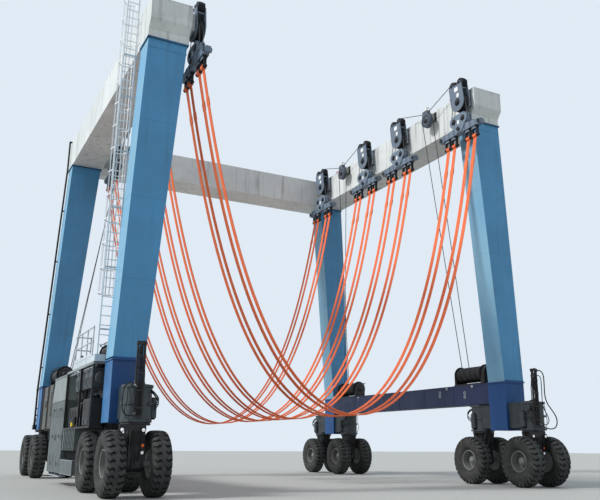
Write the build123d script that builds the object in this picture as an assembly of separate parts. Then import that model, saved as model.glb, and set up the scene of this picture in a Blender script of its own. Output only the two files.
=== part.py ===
# A sixteen-wheel travel lift: two side frames with tapered columns, joined only at the rear by a cross
# beam, on eight steered twin-wheel units, with four pairs of sling hoists hung inside its top beams.
# Millimetres. X to the right, Y to the rear, Z up. The origin is on the ground under the middle.
from build123d import *
import math
import os

# Layout of the whole machine
TRACK_HALF = 8700        # middle to the kingpins of one side
COLUMN_Y = 7700          # middle to the centre of each column
UNIT_OFFSET = 1590       # column centre to the kingpin before it and behind it
FLANGE_Z = 17050         # joint between a column and its top beam
FIT = 0.05               # radial clearance of shafts in their bores
RUNNING_FIT = 1          # radial clearance of a sheave on its pin

# Tyres, rims and axles
TYRE_R = 1050
TYRE_W = 620
BEAD_R = 445
BEAD_INSET = 120         # side of the tyre to its bead
SHOULDER_R = 90          # drop from the crown to the shoulder
CROWN_SHARE = 0.72       # flat share of the tread's width
WHEEL_OFFSET = 735       # unit centre to the middle of each tyre
SWEEP_R = math.hypot(WHEEL_OFFSET + TYRE_W / 2, TYRE_R)
AXLE_R = 120
HUB_R = 210
HUB_L = 190
RIM_W = 430
RIM_T = 35
DISC_T = 45
DISC_GAP = 20            # disc edge to the rim's seat

# Steered yokes, turntables and kingpin housings
YOKE_W = 500             # along X, between the tyres
YOKE_FOOT_R = 290
YOKE_TOP_L = 900         # along Y
YOKE_NECK_L = 560
YOKE_NECK_Z = TYRE_R + 570
TURNTABLE_R = 480
TURNTABLE_T = 70
TURNTABLE_Z = 2 * TYRE_R + 230
KINGPIN_R = 250
KINGPIN_TOP_Z = TURNTABLE_Z + 970
KINGPIN_GAP = 20         # kingpin's head to the end of its bore
HOUSING_R = 485
HOUSING_TOP_Z = KINGPIN_TOP_Z + 240
HOUSING_GAP = 10         # turntable to housing
CLAMP_RISE = 35          # how far the bearing clamps stand out
CLAMP_H = 90
CLAMP_Z = (TURNTABLE_Z + HOUSING_GAP, TURNTABLE_Z + 560, HOUSING_TOP_Z - CLAMP_H)
ARM_W = 720
ARM_DROP = 120           # arm's underside above the housing's
STEER_MOTOR_R = 130
STEER_MOTOR_Z = (TURNTABLE_Z + 160, TURNTABLE_Z + 760)
LAMP_BAR_X = (620, 200)  # how far a front yoke's lamp bar reaches left and right
LAMP_BAR_H = 200
LAMP_R = 65
LAMP_L = 110
MARKER_X = 190
MARKER_Z = (340, 560)    # above the axle
MARKER_R = 55
MARKER_L = 60

# Columns
FOOT_OFFSET = 85         # column foot outside the kingpins
COLUMN_BOTTOM_W = 1110   # along X
COLUMN_BOTTOM_X = TRACK_HALF + FOOT_OFFSET
COLUMN_TOP_W = 1570
COLUMN_D = 1090          # along Y
FLANGE_T = 60
FLANGE_LIP = 110
FOOT_LIP = 45

# Sills and the legs under the columns
SILL_H = 950
SILL_W = 780
SILL_INNER_X = COLUMN_BOTTOM_X - COLUMN_BOTTOM_W / 2
SILL_CLEAR = 10          # sill's underside above the housings
BASE_Z = HOUSING_TOP_Z + SILL_CLEAR + SILL_H
LEG_Z = TURNTABLE_Z + 30

# Top beams
BEAM_H = 1650
BEAM_W = 1660
BEAM_X = 8050
BEAM_TOP_Z = FLANGE_Z + BEAM_H
COLUMN_TOP_X = BEAM_X + 25
BEAM_FRONT_Y = -(COLUMN_Y + 800)
BEAM_REAR_Y = COLUMN_Y + 1100
NOSE_FACE_H = 980        # height of the beam's front face
NOSE_SLOPE_H = 340       # rise of the sloped underside behind it
CROSS_D = 1900           # cross beam along Y

# Winches on the sills
WINCH_L = 2200
WINCH_W = 760
WINCH_GAP = 300          # column to the winch's base
WINCH_BASE_T = 60
WINCH_RISE = 500         # base to the drum's axis
DRUM_R = 340
DRUM_FLANGE_R = 430
DRUM_FLANGE_T = 40
STAND_T = 120
GEAR_L = 260             # gear case next to the column
GEAR_R = 370
STAND_R = 330
WINCH_OFFSET = 30        # winch outside the sill's middle line
WINCH_MOTOR_R = 130
WINCH_MOTOR_L = 220      # motor to the gear case, towards the column
WINCH_MOTOR_DROP = 130   # motor's axis below the drum's

# Hoists
HOIST_REACH = 420        # beam's inner face to the blocks' middle plane
HOIST_X = BEAM_X - BEAM_W / 2 - HOIST_REACH
HOIST_Y = (-7900, -2700, 800, 6000)
FRONT_HOISTS = HOIST_Y[:2]
REAR_HOISTS = HOIST_Y[2:]
BLOCK_W = 400            # along X, over the cheek plates
CHEEK_T = 40
CHEEK_RIM = 45           # cheek plate beyond the sheaves
SHEAVE_GAP = 10          # cheek plate to sheave
GROOVE_D = 30
GROOVE_W = 70
UPPER_SHEAVE_R = 430     # to the bottom of the groove
UPPER_SHEAVE_Z = FLANGE_Z + 910
UPPER_SHEAVE_Y = -60     # block centre to the large sheave above
UPPER_PIN_R = 70
TOP_SHEAVE_R = 230
TOP_SHEAVE_Z = UPPER_SHEAVE_Z + 1000
TOP_SHEAVE_Y = (-250, 320)
TOP_PIN_R = 45
HEAD_Y = (-420, 520)     # block centre to the ends of its narrow head
HEAD_DROP = 60           # head's top below the top sheaves' axis
SHELF_T = 60
SHELF_DROP = 330
HANGER_L = 660           # arm between a block and its beam, along Y
HANGER_Z = (BEAM_TOP_Z - 900, BEAM_TOP_Z - 150)
LOWER_SHEAVE_R = 270
LOWER_SHEAVE_Z = UPPER_SHEAVE_Z - 920
LOWER_SHEAVE_Y = 330     # block centre to each of its sheaves
LOWER_INSET = 40         # how much narrower a lower block is on each side
ROPE_R = 18
ROPE_X = 80              # block centre to each pair of falls
EQUALISER_PIN_R = 70
EQUALISER_PIN_RISE = 240 # above the equaliser's underside
EQUALISER_L = 3000
EQUALISER_H = 380
EQUALISER_END_H = 240
EQUALISER_TOP_L = 1000
EQUALISER_Z = LOWER_SHEAVE_Z - 700    # underside
EQUALISER_W = 230
LUG_HOLE_R = 50          # hole in each end of an equaliser
LUG_HOLE_INSET = 110
LUG_PAD_R = 105
LUG_PAD_T = 45
PIN_HEAD = 50            # how far a pin stands out of its cheeks
IDLER_Y = (-5300, 3400)
IDLER_R = 360
IDLER_Z = FLANGE_Z + 1030
IDLER_W = 220
IDLER_HEAD_Z = IDLER_Z + 570
IDLER_ARM_L = 220
IDLER_ARM_Z = (IDLER_Z + 90, IDLER_Z + 450)
IDLER_HUB_R = 110
IDLER_HUB_L = 40
LEAD_START = 1805        # first lead rope's place on its drum, from the column's face
LEAD_STEP = 500          # between the places of the two lead ropes
LEAD_OFFSET = 35         # hoist's middle plane to each lead rope
LEAD_GAP = 1             # lead rope to the sheaves and the drum that it runs on

# Shackles and slings
SHACKLE_GROUP_Y = 750    # equaliser centre to the middle of each pair of shackles
SHACKLE_PAIR_Y = 235     # middle of a pair to each shackle
SHACKLE_H = 520
SHACKLE_L = 400
SHACKLE_BAR = 110
SLING_W = 220
SLING_T = 50
SLING_BOTTOM_Z = 2800
SLING_STEPS = 16

# Power pack and cabinets outside the left sill
SIDE_OUTER_X = TRACK_HALF + 1000
SIDE_INNER_X = TRACK_HALF - 100
SILL_OUTER_X = SILL_INNER_X + SILL_W
TRAY_Z = 2 * TYRE_R + 100
TRAY_T = 60
CABINET_Y = (-1900, 1200)
CABINET_Z = (500, BASE_Z - 50)
CABINET_KINK_Z = BASE_Z - 1100
CABINET_LEAN = 60
DOOR_GAP = 14            # grooves between the cabinet's doors
DOOR_COUNT = 4
DOOR_EDGE = 80           # cabinet's edge to the ends of the grooves
SWEEP_GAP = 180          # turning wheels to the housings between them
BAY_FRONT_Y = -6900
UNDER_Y = (-COLUMN_Y + UNIT_OFFSET + SWEEP_R + SWEEP_GAP, CABINET_Y[0])
LOWER_HOUSING_Z = (1400, TRAY_Z)
STEP_BOX_Z = (500, 1040)
STEP_BOX_W = 800
STEP_RECESS = 180        # wall behind the step, back from the outer faces
HOUSING_RIB_W = 60
HOUSING_RIB_T = 30       # how far the ribs stand out
HOUSING_RIB_STEP = 300
ENGINE_Y = (-4750, -2300)
ENGINE_X = (SIDE_INNER_X - 80, SIDE_OUTER_X - 140)
ENGINE_H = 780
HEAD_H = 260             # cylinder heads above the block
HEAD_W = 320
HEAD_COUNT = 6
HEAD_GAP = 30            # half the space between two heads
FAN_R = 330
FAN_L = 200              # engine's front end to its block
FAN_T = 90
MUFFLER_R = 125
MUFFLER_Y = (-3900, -2500)
MUFFLER_RISE = 165       # heads to the muffler's axis
MUFFLER_X = 9240
SADDLE_L = 80
STACK_R = 60
STACK_Y = -2200
STACK_RISE = 700         # above the sill
RADIATOR_Y = (-5250, -5000)
RADIATOR_H = 1150
RADIATOR_FRAME = 60
SLAT_T = 20
SLAT_COUNT = 12
FUEL_TANK_Y = (-6750, -5450)
FUEL_TANK_H = 980
FUEL_TANK_INSET = 40
FUEL_TANK_EDGE = 60
FUEL_CAP_R = 70
INTAKE_Y = (-6600, -3500)
INTAKE_Z = (BASE_Z - SILL_H + 60, BASE_Z - 200)
INTAKE_INSET = 90
POST = 80
OIL_TANK_Y = (1300, 4250)
OIL_TANK_Z = (TRAY_Z + 100, BASE_Z - 250)
TANK_RIB = 60
FILLER_R = 90
BEACON_R = 60
BEACON_H = 190
BEACON_Y = -3500
BEACON_GAP = 5           # beacon to the tray's edge
LAMP_BOX = 180
RED_LAMP_R = 70
RED_LAMP_H = 160
RED_LAMP_Y = (-6600, 5000)

# Walkway, ladder, masts and conduit
PLATFORM_Y = (-7050, -3100)
PLATFORM_T = 240
PLATFORM_GAP = 30        # walkway to the sill's top edge
RAIL_H = 1100
RAIL_R = 24
RAIL_START = 750         # front end of the walkway left open for the ladder
LADDER_X = SIDE_OUTER_X - 310
LADDER_TOP_X = BEAM_X + BEAM_W / 2 + 360
LADDER_Y = -7000
LADDER_W = 460
LADDER_TOP_Z = BEAM_TOP_Z + 1000
LADDER_TUBE = 50
LADDER_FOOT_GAP = 3
RUNG = 30
RUNG_STEP = 350
CAGE_START_Z = 7000
CAGE_STEP = 950
CAGE_R = 340
CAGE_DEPTH = 340         # ladder plane to the centre of the hoops' bend
CAGE_STRIP = 40
CAGE_T = 12
CAGE_SIDES = 7           # flats of each hoop's bend, with an upright behind each
MAST_X = (-TRACK_HALF - 100, TRACK_HALF - 300)
MAST_TOP_Z = BASE_Z + 400
MAST_W = 300
MAST_TUBE = 60
MAST_FOOT_Z = TURNTABLE_Z + 150
MAST_BRACKETS = (210, 710)
BRACKET_REACH = 150      # past the housing's foremost line
CONDUIT_R = 50
CONDUIT_Y = 8050
CONDUIT_GAP = 55         # pipe to the face it runs along
CONDUIT_OVER = 400
CLIP_GAP = 2             # lowest edge of a clip to the sloping face
CLIP_Z = (3100, 5600, 8500, 11500, 14500)


def box(x0, x1, y0, y1, z0, z1):
    size = (abs(x1 - x0), abs(y1 - y0), abs(z1 - z0))
    return Pos((x0 + x1) / 2, (y0 + y1) / 2, (z0 + z1) / 2) * Box(*size)


def rod(start, end, radius):
    """A round bar from one point to another."""
    axis = Vector(*end) - Vector(*start)
    plane = Plane(origin=start, z_dir=axis)
    return extrude(plane * Circle(radius), amount=axis.length)


def across(x, y, z, half, radius):
    """A round bar along X, as long each way as half says."""
    return rod((x - half, y, z), (x + half, y, z), radius)


def side_plate(face, x0, x1):
    """A flat outline drawn in (Y, Z), given its thickness along X."""
    return extrude(Plane.YZ.offset(min(x0, x1)) * face, amount=abs(x1 - x0))


def outline(*points):
    return make_face(Polyline(*points, close=True))


def joined(solids):
    whole = solids[0]
    for solid in solids[1:]:
        whole += solid
    return whole


def save(name, *solids):
    shape = solids[0] if len(solids) == 1 else Compound(children=list(solids))
    shape.label = name
    export_step(shape, f"parts/{name}.step")


def column(side, end):
    x0, x1 = side * COLUMN_BOTTOM_X, side * COLUMN_TOP_X
    y = end * COLUMN_Y
    top = FLANGE_Z - FLANGE_T
    shaft = loft(
        [
            Pos(x0, y, BASE_Z) * Rectangle(COLUMN_BOTTOM_W, COLUMN_D),
            Pos(x1, y, top) * Rectangle(COLUMN_TOP_W, COLUMN_D),
        ],
        ruled=True,
    )
    flange = Pos(x1, y, top + FLANGE_T / 2) * Box(
        COLUMN_TOP_W + FLANGE_LIP, COLUMN_D + FLANGE_LIP, FLANGE_T
    )
    return shaft + flange


def top_beam(side):
    column_front = -COLUMN_Y - COLUMN_D / 2
    face = outline(
        (BEAM_FRONT_Y, BEAM_TOP_Z),
        (BEAM_FRONT_Y, BEAM_TOP_Z - NOSE_FACE_H),
        (column_front, BEAM_TOP_Z - NOSE_FACE_H - NOSE_SLOPE_H),
        (column_front, FLANGE_Z),
        (BEAM_REAR_Y, FLANGE_Z),
        (BEAM_REAR_Y, BEAM_TOP_Z),
    )
    return side_plate(face, side * (BEAM_X - BEAM_W / 2), side * (BEAM_X + BEAM_W / 2))


def cross_beam():
    reach = BEAM_X - BEAM_W / 2
    return box(-reach, reach, BEAM_REAR_Y - CROSS_D, BEAM_REAR_Y, FLANGE_Z, BEAM_TOP_Z)


def sill(side):
    """The long box beam of one side frame with the legs that hold its four kingpin housings."""
    inner = side * SILL_INNER_X
    beam = box(inner, side * SILL_OUTER_X, -COLUMN_Y, COLUMN_Y, BASE_Z - SILL_H, BASE_Z)
    half_w, half_d = COLUMN_BOTTOM_W / 2, COLUMN_D / 2
    x = side * COLUMN_BOTTOM_X
    for end in (-1, 1):
        y = end * COLUMN_Y
        beam += box(x - half_w, x + half_w, y - half_d, y + half_d, LEG_Z, BASE_Z)
        lip_w, lip_d = half_w + FOOT_LIP, half_d + FOOT_LIP
        beam += box(x - lip_w, x + lip_w, y - lip_d, y + lip_d, BASE_Z - FOOT_LIP, BASE_Z)
    return beam


def housing(side, end, step):
    """The bearing of one kingpin, with its clamps, its steering motor and the arm to the leg."""
    x = side * TRACK_HALF
    y = end * COLUMN_Y + step * UNIT_OFFSET
    leg_face = end * COLUMN_Y + step * COLUMN_D / 2
    bottom = TURNTABLE_Z + HOUSING_GAP
    shell = rod((x, y, bottom), (x, y, HOUSING_TOP_Z), HOUSING_R)
    for z in CLAMP_Z:
        shell += rod((x, y, z), (x, y, z + CLAMP_H), HOUSING_R + CLAMP_RISE)
    shell += box(x - ARM_W / 2, x + ARM_W / 2, leg_face, y, bottom + ARM_DROP, HOUSING_TOP_Z)
    motor_x = x - side * (HOUSING_R + STEER_MOTOR_R / 2)
    z0, z1 = STEER_MOTOR_Z
    shell += rod((motor_x, y, z0), (motor_x, y, z1), STEER_MOTOR_R)
    return shell - rod(
        (x, y, bottom - 1), (x, y, KINGPIN_TOP_Z + KINGPIN_GAP), KINGPIN_R + FIT
    )


def yoke(x, y, lamps=False):
    """A steered leg between two tyres, with its turntable, kingpin and axle bearing."""
    top = TURNTABLE_Z - TURNTABLE_T
    half_top, half_neck = YOKE_TOP_L / 2, YOKE_NECK_L / 2
    web = outline(
        (y - half_top, top),
        (y - half_neck, YOKE_NECK_Z),
        (y - half_neck, TYRE_R),
        (y + half_neck, TYRE_R),
        (y + half_neck, YOKE_NECK_Z),
        (y + half_top, top),
    )
    leg = side_plate(web, x - YOKE_W / 2, x + YOKE_W / 2)
    leg += across(x, y, TYRE_R, YOKE_W / 2, YOKE_FOOT_R)
    leg += rod((x, y, top), (x, y, TURNTABLE_Z), TURNTABLE_R)
    leg += rod((x, y, TURNTABLE_Z), (x, y, KINGPIN_TOP_Z), KINGPIN_R)
    if lamps:
        leg += lamp_bar(x, y)
    return leg - across(x, y, TYRE_R, YOKE_W, AXLE_R + FIT)


def lamp_bar(x, y):
    """Two work lamps on a bar before the turntable, and two marker lamps lower on the yoke."""
    front = y - YOKE_TOP_L / 2
    low = TURNTABLE_Z - TURNTABLE_T
    left, right = x - LAMP_BAR_X[0], x + LAMP_BAR_X[1]
    lamps = box(left, right, front - 30, front + 60, low - LAMP_BAR_H, low)
    for lamp_x in (left + LAMP_R, right - LAMP_R):
        z = low - LAMP_BAR_H + LAMP_R / 2
        lamps += rod((lamp_x, front, z), (lamp_x, front - LAMP_L, z), LAMP_R)
    for rise in MARKER_Z:
        face = y - YOKE_NECK_L / 2
        lamps += rod(
            (x + MARKER_X, face + 10, TYRE_R + rise),
            (x + MARKER_X, face - MARKER_L, TYRE_R + rise),
            MARKER_R,
        )
    return lamps


def tyre(x, y):
    half = TYRE_W / 2
    widest = (BEAD_R + TYRE_R) / 2
    right = (
        (half - BEAD_INSET, BEAD_R),
        (half, widest),
        (half - SHOULDER_R / 3, TYRE_R - SHOULDER_R),
        (half * CROWN_SHARE, TYRE_R),
    )
    left = [(-v, r) for v, r in reversed(right)]
    return Pos(x, y, TYRE_R) * revolve(outline(*right, *left), Axis.X)


def rim(x, y, side):
    """A deep rim turned in one piece: its disc and hub sit near the unit's centre."""
    w = RIM_W / 2
    disc = -w + DISC_T * 2
    section = outline(
        (-side * w, 0),
        (-side * w, BEAD_R),
        (side * w, BEAD_R),
        (side * w, BEAD_R - RIM_T),
        (side * disc, BEAD_R - RIM_T - DISC_GAP),
        (side * disc, HUB_R),
        (side * (disc + HUB_L), HUB_R * 0.8),
        (side * (disc + HUB_L), 0),
    )
    return Pos(x, y, TYRE_R) * revolve(section, Axis.X)


def wheels(x, y):
    """Both rims of a unit on their axle."""
    axle = across(x, y, TYRE_R, WHEEL_OFFSET, AXLE_R)
    for side in (-1, 1):
        axle += rim(x + side * WHEEL_OFFSET, y, side)
    return axle


def grooved_sheave(x, y, z, radius, bore):
    """A sheave turned with one groove for each of a block's two ropes."""
    half = BLOCK_W / 2 - CHEEK_T - SHEAVE_GAP
    edge = radius + GROOVE_D
    section = [(-half, bore), (-half, edge)]
    for middle in (-ROPE_X, ROPE_X):
        section += [
            (middle - GROOVE_W / 2, edge),
            (middle - ROPE_R, radius),
            (middle + ROPE_R, radius),
            (middle + GROOVE_W / 2, edge),
        ]
    section += [(half, edge), (half, bore)]
    return Pos(x, y, z) * revolve(outline(*section), Axis.X)


def upper_block(side, y):
    """Two cheek plates round a large sheave and two small ones, on an arm from the top beam."""
    x = side * HOIST_X
    half = BLOCK_W / 2
    pivot = y + UPPER_SHEAVE_Y
    wide = UPPER_SHEAVE_R + CHEEK_RIM
    head_z = TOP_SHEAVE_Z - HEAD_DROP
    cheek = Pos(pivot, UPPER_SHEAVE_Z) * Circle(wide)
    cheek += outline(
        (pivot - wide, UPPER_SHEAVE_Z),
        (y + HEAD_Y[0], head_z),
        (y + HEAD_Y[1], head_z),
        (pivot + wide, UPPER_SHEAVE_Z),
    )
    for place in TOP_SHEAVE_Y:
        cheek += Pos(y + place, TOP_SHEAVE_Z) * Circle(2 * TOP_PIN_R)
    block = side_plate(cheek, x - half, x - half + CHEEK_T)
    block += side_plate(cheek, x + half - CHEEK_T, x + half)
    shelf = TOP_SHEAVE_Z - SHELF_DROP
    block += box(x - half, x + half, y + HEAD_Y[0] + 40, y + HEAD_Y[1] - 40, shelf, shelf + SHELF_T)
    block += across(x, pivot, UPPER_SHEAVE_Z, half + PIN_HEAD, UPPER_PIN_R)
    for place in TOP_SHEAVE_Y:
        block += across(x, y + place, TOP_SHEAVE_Z, half + PIN_HEAD / 2, TOP_PIN_R)
    inner = side * (BEAM_X - BEAM_W / 2)
    return block + box(
        x + side * half, inner, y - HANGER_L / 2, y + HANGER_L / 2, *HANGER_Z
    )


def upper_sheaves(side, y):
    """The large sheave low in the block and the two small ones on top of it."""
    x = side * HOIST_X
    inside = BLOCK_W / 2 - CHEEK_T - SHEAVE_GAP
    large = grooved_sheave(
        x, y + UPPER_SHEAVE_Y, UPPER_SHEAVE_Z, UPPER_SHEAVE_R, UPPER_PIN_R + RUNNING_FIT
    )
    small = []
    for place in TOP_SHEAVE_Y:
        where = (x, y + place, TOP_SHEAVE_Z)
        wheel = across(*where, inside, TOP_SHEAVE_R) - across(
            *where, BLOCK_W, TOP_PIN_R + RUNNING_FIT
        )
        small.append(wheel)
    return [large, *small]


def idler(side, y):
    """A guide sheave in its housing, on an arm that stands on the beam's inner face."""
    x = side * HOIST_X
    inner = side * (BEAM_X - BEAM_W / 2)
    guard = Pos(y, IDLER_Z) * Circle(IDLER_R)
    guard += outline(
        (y - IDLER_R * 0.85, IDLER_Z),
        (y - IDLER_R / 3, IDLER_HEAD_Z),
        (y + IDLER_R * 0.7, IDLER_HEAD_Z),
        (y + IDLER_R * 0.95, IDLER_Z),
    )
    body = side_plate(guard, x - IDLER_W / 2, x + IDLER_W / 2)
    hub_end = x - side * (IDLER_W / 2 + IDLER_HUB_L)
    body += rod((x, y, IDLER_Z), (hub_end, y, IDLER_Z), IDLER_HUB_R)
    return body + box(x, inner, y - IDLER_ARM_L / 2, y + IDLER_ARM_L / 2, *IDLER_ARM_Z)


def lower_block(side, y):
    """A travelling block: two sheaves between cheeks, with the pin that carries the equaliser."""
    x = side * HOIST_X
    half = BLOCK_W / 2 - LOWER_INSET
    wide = LOWER_SHEAVE_R + GROOVE_D
    cheek = Pos(y, LOWER_SHEAVE_Z) * Rectangle(2 * LOWER_SHEAVE_Y, 2 * wide)
    for v in (y - LOWER_SHEAVE_Y, y + LOWER_SHEAVE_Y):
        cheek += Pos(v, LOWER_SHEAVE_Z) * Circle(wide)
    cheek += outline(
        (y - LOWER_SHEAVE_Y - 170, LOWER_SHEAVE_Z - LOWER_SHEAVE_R + 30),
        (y - 200, EQUALISER_Z + 60),
        (y + 200, EQUALISER_Z + 60),
        (y + LOWER_SHEAVE_Y + 170, LOWER_SHEAVE_Z - LOWER_SHEAVE_R + 30),
    )
    block = side_plate(cheek, x - half, x - half + CHEEK_T)
    block += side_plate(cheek, x + half - CHEEK_T, x + half)
    for v in (y - LOWER_SHEAVE_Y, y + LOWER_SHEAVE_Y):
        block += across(x, v, LOWER_SHEAVE_Z, half - CHEEK_T - SHEAVE_GAP, LOWER_SHEAVE_R)
        block += across(x, v, LOWER_SHEAVE_Z, half + PIN_HEAD / 2, UPPER_PIN_R)
    pin_z = EQUALISER_Z + EQUALISER_PIN_RISE
    return block + across(x, y, pin_z, half + PIN_HEAD, EQUALISER_PIN_R)


def tangent_run(upper, upper_r, lower, lower_r, turn):
    """The straight rope between two sheaves, as (Y, Z) points on the side that turn names."""
    dy, dz = lower[0] - upper[0], lower[1] - upper[1]
    gap = math.hypot(dy, dz)
    angle = math.atan2(dz, dy) + turn * math.acos((upper_r - lower_r) / gap)
    ny, nz = math.cos(angle), math.sin(angle)
    return (
        (upper[0] + ny * upper_r, upper[1] + nz * upper_r),
        (lower[0] + ny * lower_r, lower[1] + nz * lower_r),
    )


def rope_falls(side, y):
    """The falls between the large sheave of an upper block and the sheaves of the block below it."""
    upper = (y + UPPER_SHEAVE_Y, UPPER_SHEAVE_Z)
    falls = []
    for turn in (-1, 1):
        lower = (y + turn * LOWER_SHEAVE_Y, LOWER_SHEAVE_Z)
        top, bottom = tangent_run(
            upper, UPPER_SHEAVE_R + ROPE_R, lower, LOWER_SHEAVE_R + ROPE_R, turn
        )
        for offset in (-ROPE_X, ROPE_X):
            x = side * HOIST_X + offset
            falls.append(rod((x, *top), (x, *bottom), ROPE_R))
    return falls


def rope_bend(x, y, z, radius, start, turn):
    """A rope bent round a sheave's axis along X, from one angle in (Y, Z) on through another."""
    bend = revolve(Pos(x, radius, 0) * Circle(ROPE_R), Axis.X, revolution_arc=turn)
    return Pos(0, y, z) * Rot(start, 0, 0) * bend


def lead_rope(side, idler_y, end, number, y):
    """The rope from a winch's drum round its guide sheave and over a top sheave to the shelf."""
    toward = -1 if y < idler_y else 1
    x = side * (HOIST_X + LEAD_OFFSET * (2 * number - 1))
    drum_gap = DRUM_R + ROPE_R + LEAD_GAP
    drum_x = side * (SILL_INNER_X + SILL_W / 2 + WINCH_OFFSET - drum_gap)
    drum_y = end * (COLUMN_Y - COLUMN_D / 2 - LEAD_START + LEAD_STEP * number)
    guide_r = IDLER_R + ROPE_R + LEAD_GAP
    top_r = TOP_SHEAVE_R + ROPE_R + LEAD_GAP
    top_y = y + (TOP_SHEAVE_Y[1] if toward < 0 else TOP_SHEAVE_Y[0])
    run, rise = abs(top_y - idler_y), TOP_SHEAVE_Z - IDLER_Z
    lift = math.atan2(rise, run) - math.asin((guide_r - top_r) / math.hypot(run, rise))
    ny, nz = -toward * math.sin(lift), math.cos(lift)
    leave = (x, idler_y + ny * guide_r, IDLER_Z + nz * guide_r)
    reach = (x, top_y + ny * top_r, TOP_SHEAVE_Z + nz * top_r)
    down_y = top_y + toward * top_r
    shelf = TOP_SHEAVE_Z - SHELF_DROP + SHELF_T
    degrees = math.degrees(lift)
    guide_start, top_start = (90 + degrees, 0) if toward > 0 else (0, 90 - degrees)
    rope = rod(
        (drum_x, drum_y, BASE_Z + WINCH_RISE), (x, idler_y - toward * guide_r, IDLER_Z), ROPE_R
    )
    rope += rope_bend(x, idler_y, IDLER_Z, guide_r, guide_start, 90 - degrees)
    rope += rod(leave, reach, ROPE_R)
    rope += rope_bend(x, top_y, TOP_SHEAVE_Z, top_r, top_start, 90 + degrees)
    rope += rod((x, down_y, TOP_SHEAVE_Z), (x, down_y, shelf), ROPE_R)
    return (rope - idler(side, idler_y)).solids()


def lead_ropes():
    ropes = []
    for side in (-1, 1):
        for idler_y, end, stations in zip(IDLER_Y, (-1, 1), (FRONT_HOISTS, REAR_HOISTS)):
            for number, y in enumerate(stations):
                ropes += lead_rope(side, idler_y, end, number, y)
    return ropes


def equaliser(side, y):
    """The bar that shares a block's load between four shackles, with a bored pad at each end."""
    x = side * HOIST_X
    half = EQUALISER_L / 2
    z0, z1 = EQUALISER_Z, EQUALISER_Z + EQUALISER_H
    shoulder = z0 + EQUALISER_END_H
    web = outline(
        (y - half, z0),
        (y + half, z0),
        (y + half, shoulder),
        (y + EQUALISER_TOP_L / 2, z1),
        (y - EQUALISER_TOP_L / 2, z1),
        (y - half, shoulder),
    )
    bar = side_plate(web, x - EQUALISER_W / 2, x + EQUALISER_W / 2)
    bar -= across(x, y, z0 + EQUALISER_PIN_RISE, EQUALISER_W, EQUALISER_PIN_R)
    for end in (-1, 1):
        place = (x, y + end * (half - LUG_HOLE_INSET), z0 + EQUALISER_END_H / 2)
        bar += across(*place, EQUALISER_W / 2 + LUG_PAD_T, LUG_PAD_R)
        bar -= across(*place, EQUALISER_W, LUG_HOLE_R)
    return bar


def sling_bar_z():
    return EQUALISER_Z - SHACKLE_H + SHACKLE_BAR / 2


def shackle(side, y):
    """A bow in the (Y, Z) plane, closed below by a round bar that the sling's eye goes round."""
    x = side * HOIST_X
    half, thick = SHACKLE_L / 2, SHACKLE_BAR / 2
    z = sling_bar_z()
    link = (SHACKLE_L - SLING_W) / 2 - 10
    bow = box(x - thick, x + thick, y - half, y + half, EQUALISER_Z - SHACKLE_BAR, EQUALISER_Z)
    for end in (-1, 1):
        edge = y + end * half
        bow += box(x - thick, x + thick, edge, edge - end * link, z, EQUALISER_Z)
        bow += rod((x, edge - end * link, z), (x, edge + end * 30, z), SHACKLE_BAR * 0.75)
    return bow + rod((x, y - half, z), (x, y + half, z), thick)


def shackle_positions(y):
    for group in (-1, 1):
        for pair in (-1, 1):
            yield y + group * SHACKLE_GROUP_Y + pair * SHACKLE_PAIR_Y


def sling_curve():
    """A free sling's catenary between its two shackles, as (x, z, slope) from left to right."""
    depth = sling_bar_z() - SLING_BOTTOM_Z
    low, high = HOIST_X / 20, HOIST_X * 20
    for _ in range(60):
        a = (low + high) / 2
        if a * (math.cosh(HOIST_X / a) - 1) > depth:
            low = a
        else:
            high = a
    reach = a * math.sinh(HOIST_X / a)
    points = []
    for i in range(SLING_STEPS + 1):
        s = reach * (2 * i / SLING_STEPS - 1)
        x = a * math.asinh(s / a)
        points.append((x, SLING_BOTTOM_Z + a * (math.cosh(x / a) - 1), s / a))
    return points


def sling(y):
    outer, inner = [], []
    for x, z, slope in sling_curve():
        length = math.hypot(1, slope)
        nx, nz = slope / length, -1 / length
        outer.append((x + nx * SLING_T / 2, z + nz * SLING_T / 2))
        inner.append((x - nx * SLING_T / 2, z - nz * SLING_T / 2))
    band = outline(*(outer + inner[::-1]))
    plane = Plane(origin=(0, y + SLING_W / 2, 0), x_dir=(1, 0, 0), z_dir=(0, -1, 0))
    strap = extrude(plane * band, amount=SLING_W)
    z = sling_bar_z()
    for side in (-1, 1):
        x, y0, y1 = side * HOIST_X, y - SLING_W / 2, y + SLING_W / 2
        strap += rod((x, y0, z), (x, y1, z), SHACKLE_BAR / 2 + SLING_T)
        strap -= rod((x, y0 - 1, z), (x, y1 + 1, z), SHACKLE_BAR / 2)
    return strap


def winch_frame(side, end):
    """The base of a winch with its gear case next to the column and a stand at the far end."""
    x = side * (SILL_INNER_X + SILL_W / 2 + WINCH_OFFSET)
    y0 = end * (COLUMN_Y - COLUMN_D / 2 - WINCH_GAP)
    y1 = y0 - end * WINCH_L
    z = BASE_Z + WINCH_RISE
    frame = box(x - WINCH_W / 2, x + WINCH_W / 2, y0, y1, BASE_Z, BASE_Z + WINCH_BASE_T)
    for start, depth, radius in ((y0, GEAR_L, GEAR_R), (y1 + end * STAND_T, STAND_T, STAND_R)):
        frame += rod((x, start, z), (x, start - end * depth, z), radius)
        frame += box(x - radius, x + radius, start, start - end * depth, BASE_Z, z)
    motor_z = z - WINCH_MOTOR_DROP
    return frame + rod((x, y0, motor_z), (x, y0 + end * WINCH_MOTOR_L, motor_z), WINCH_MOTOR_R)


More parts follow.
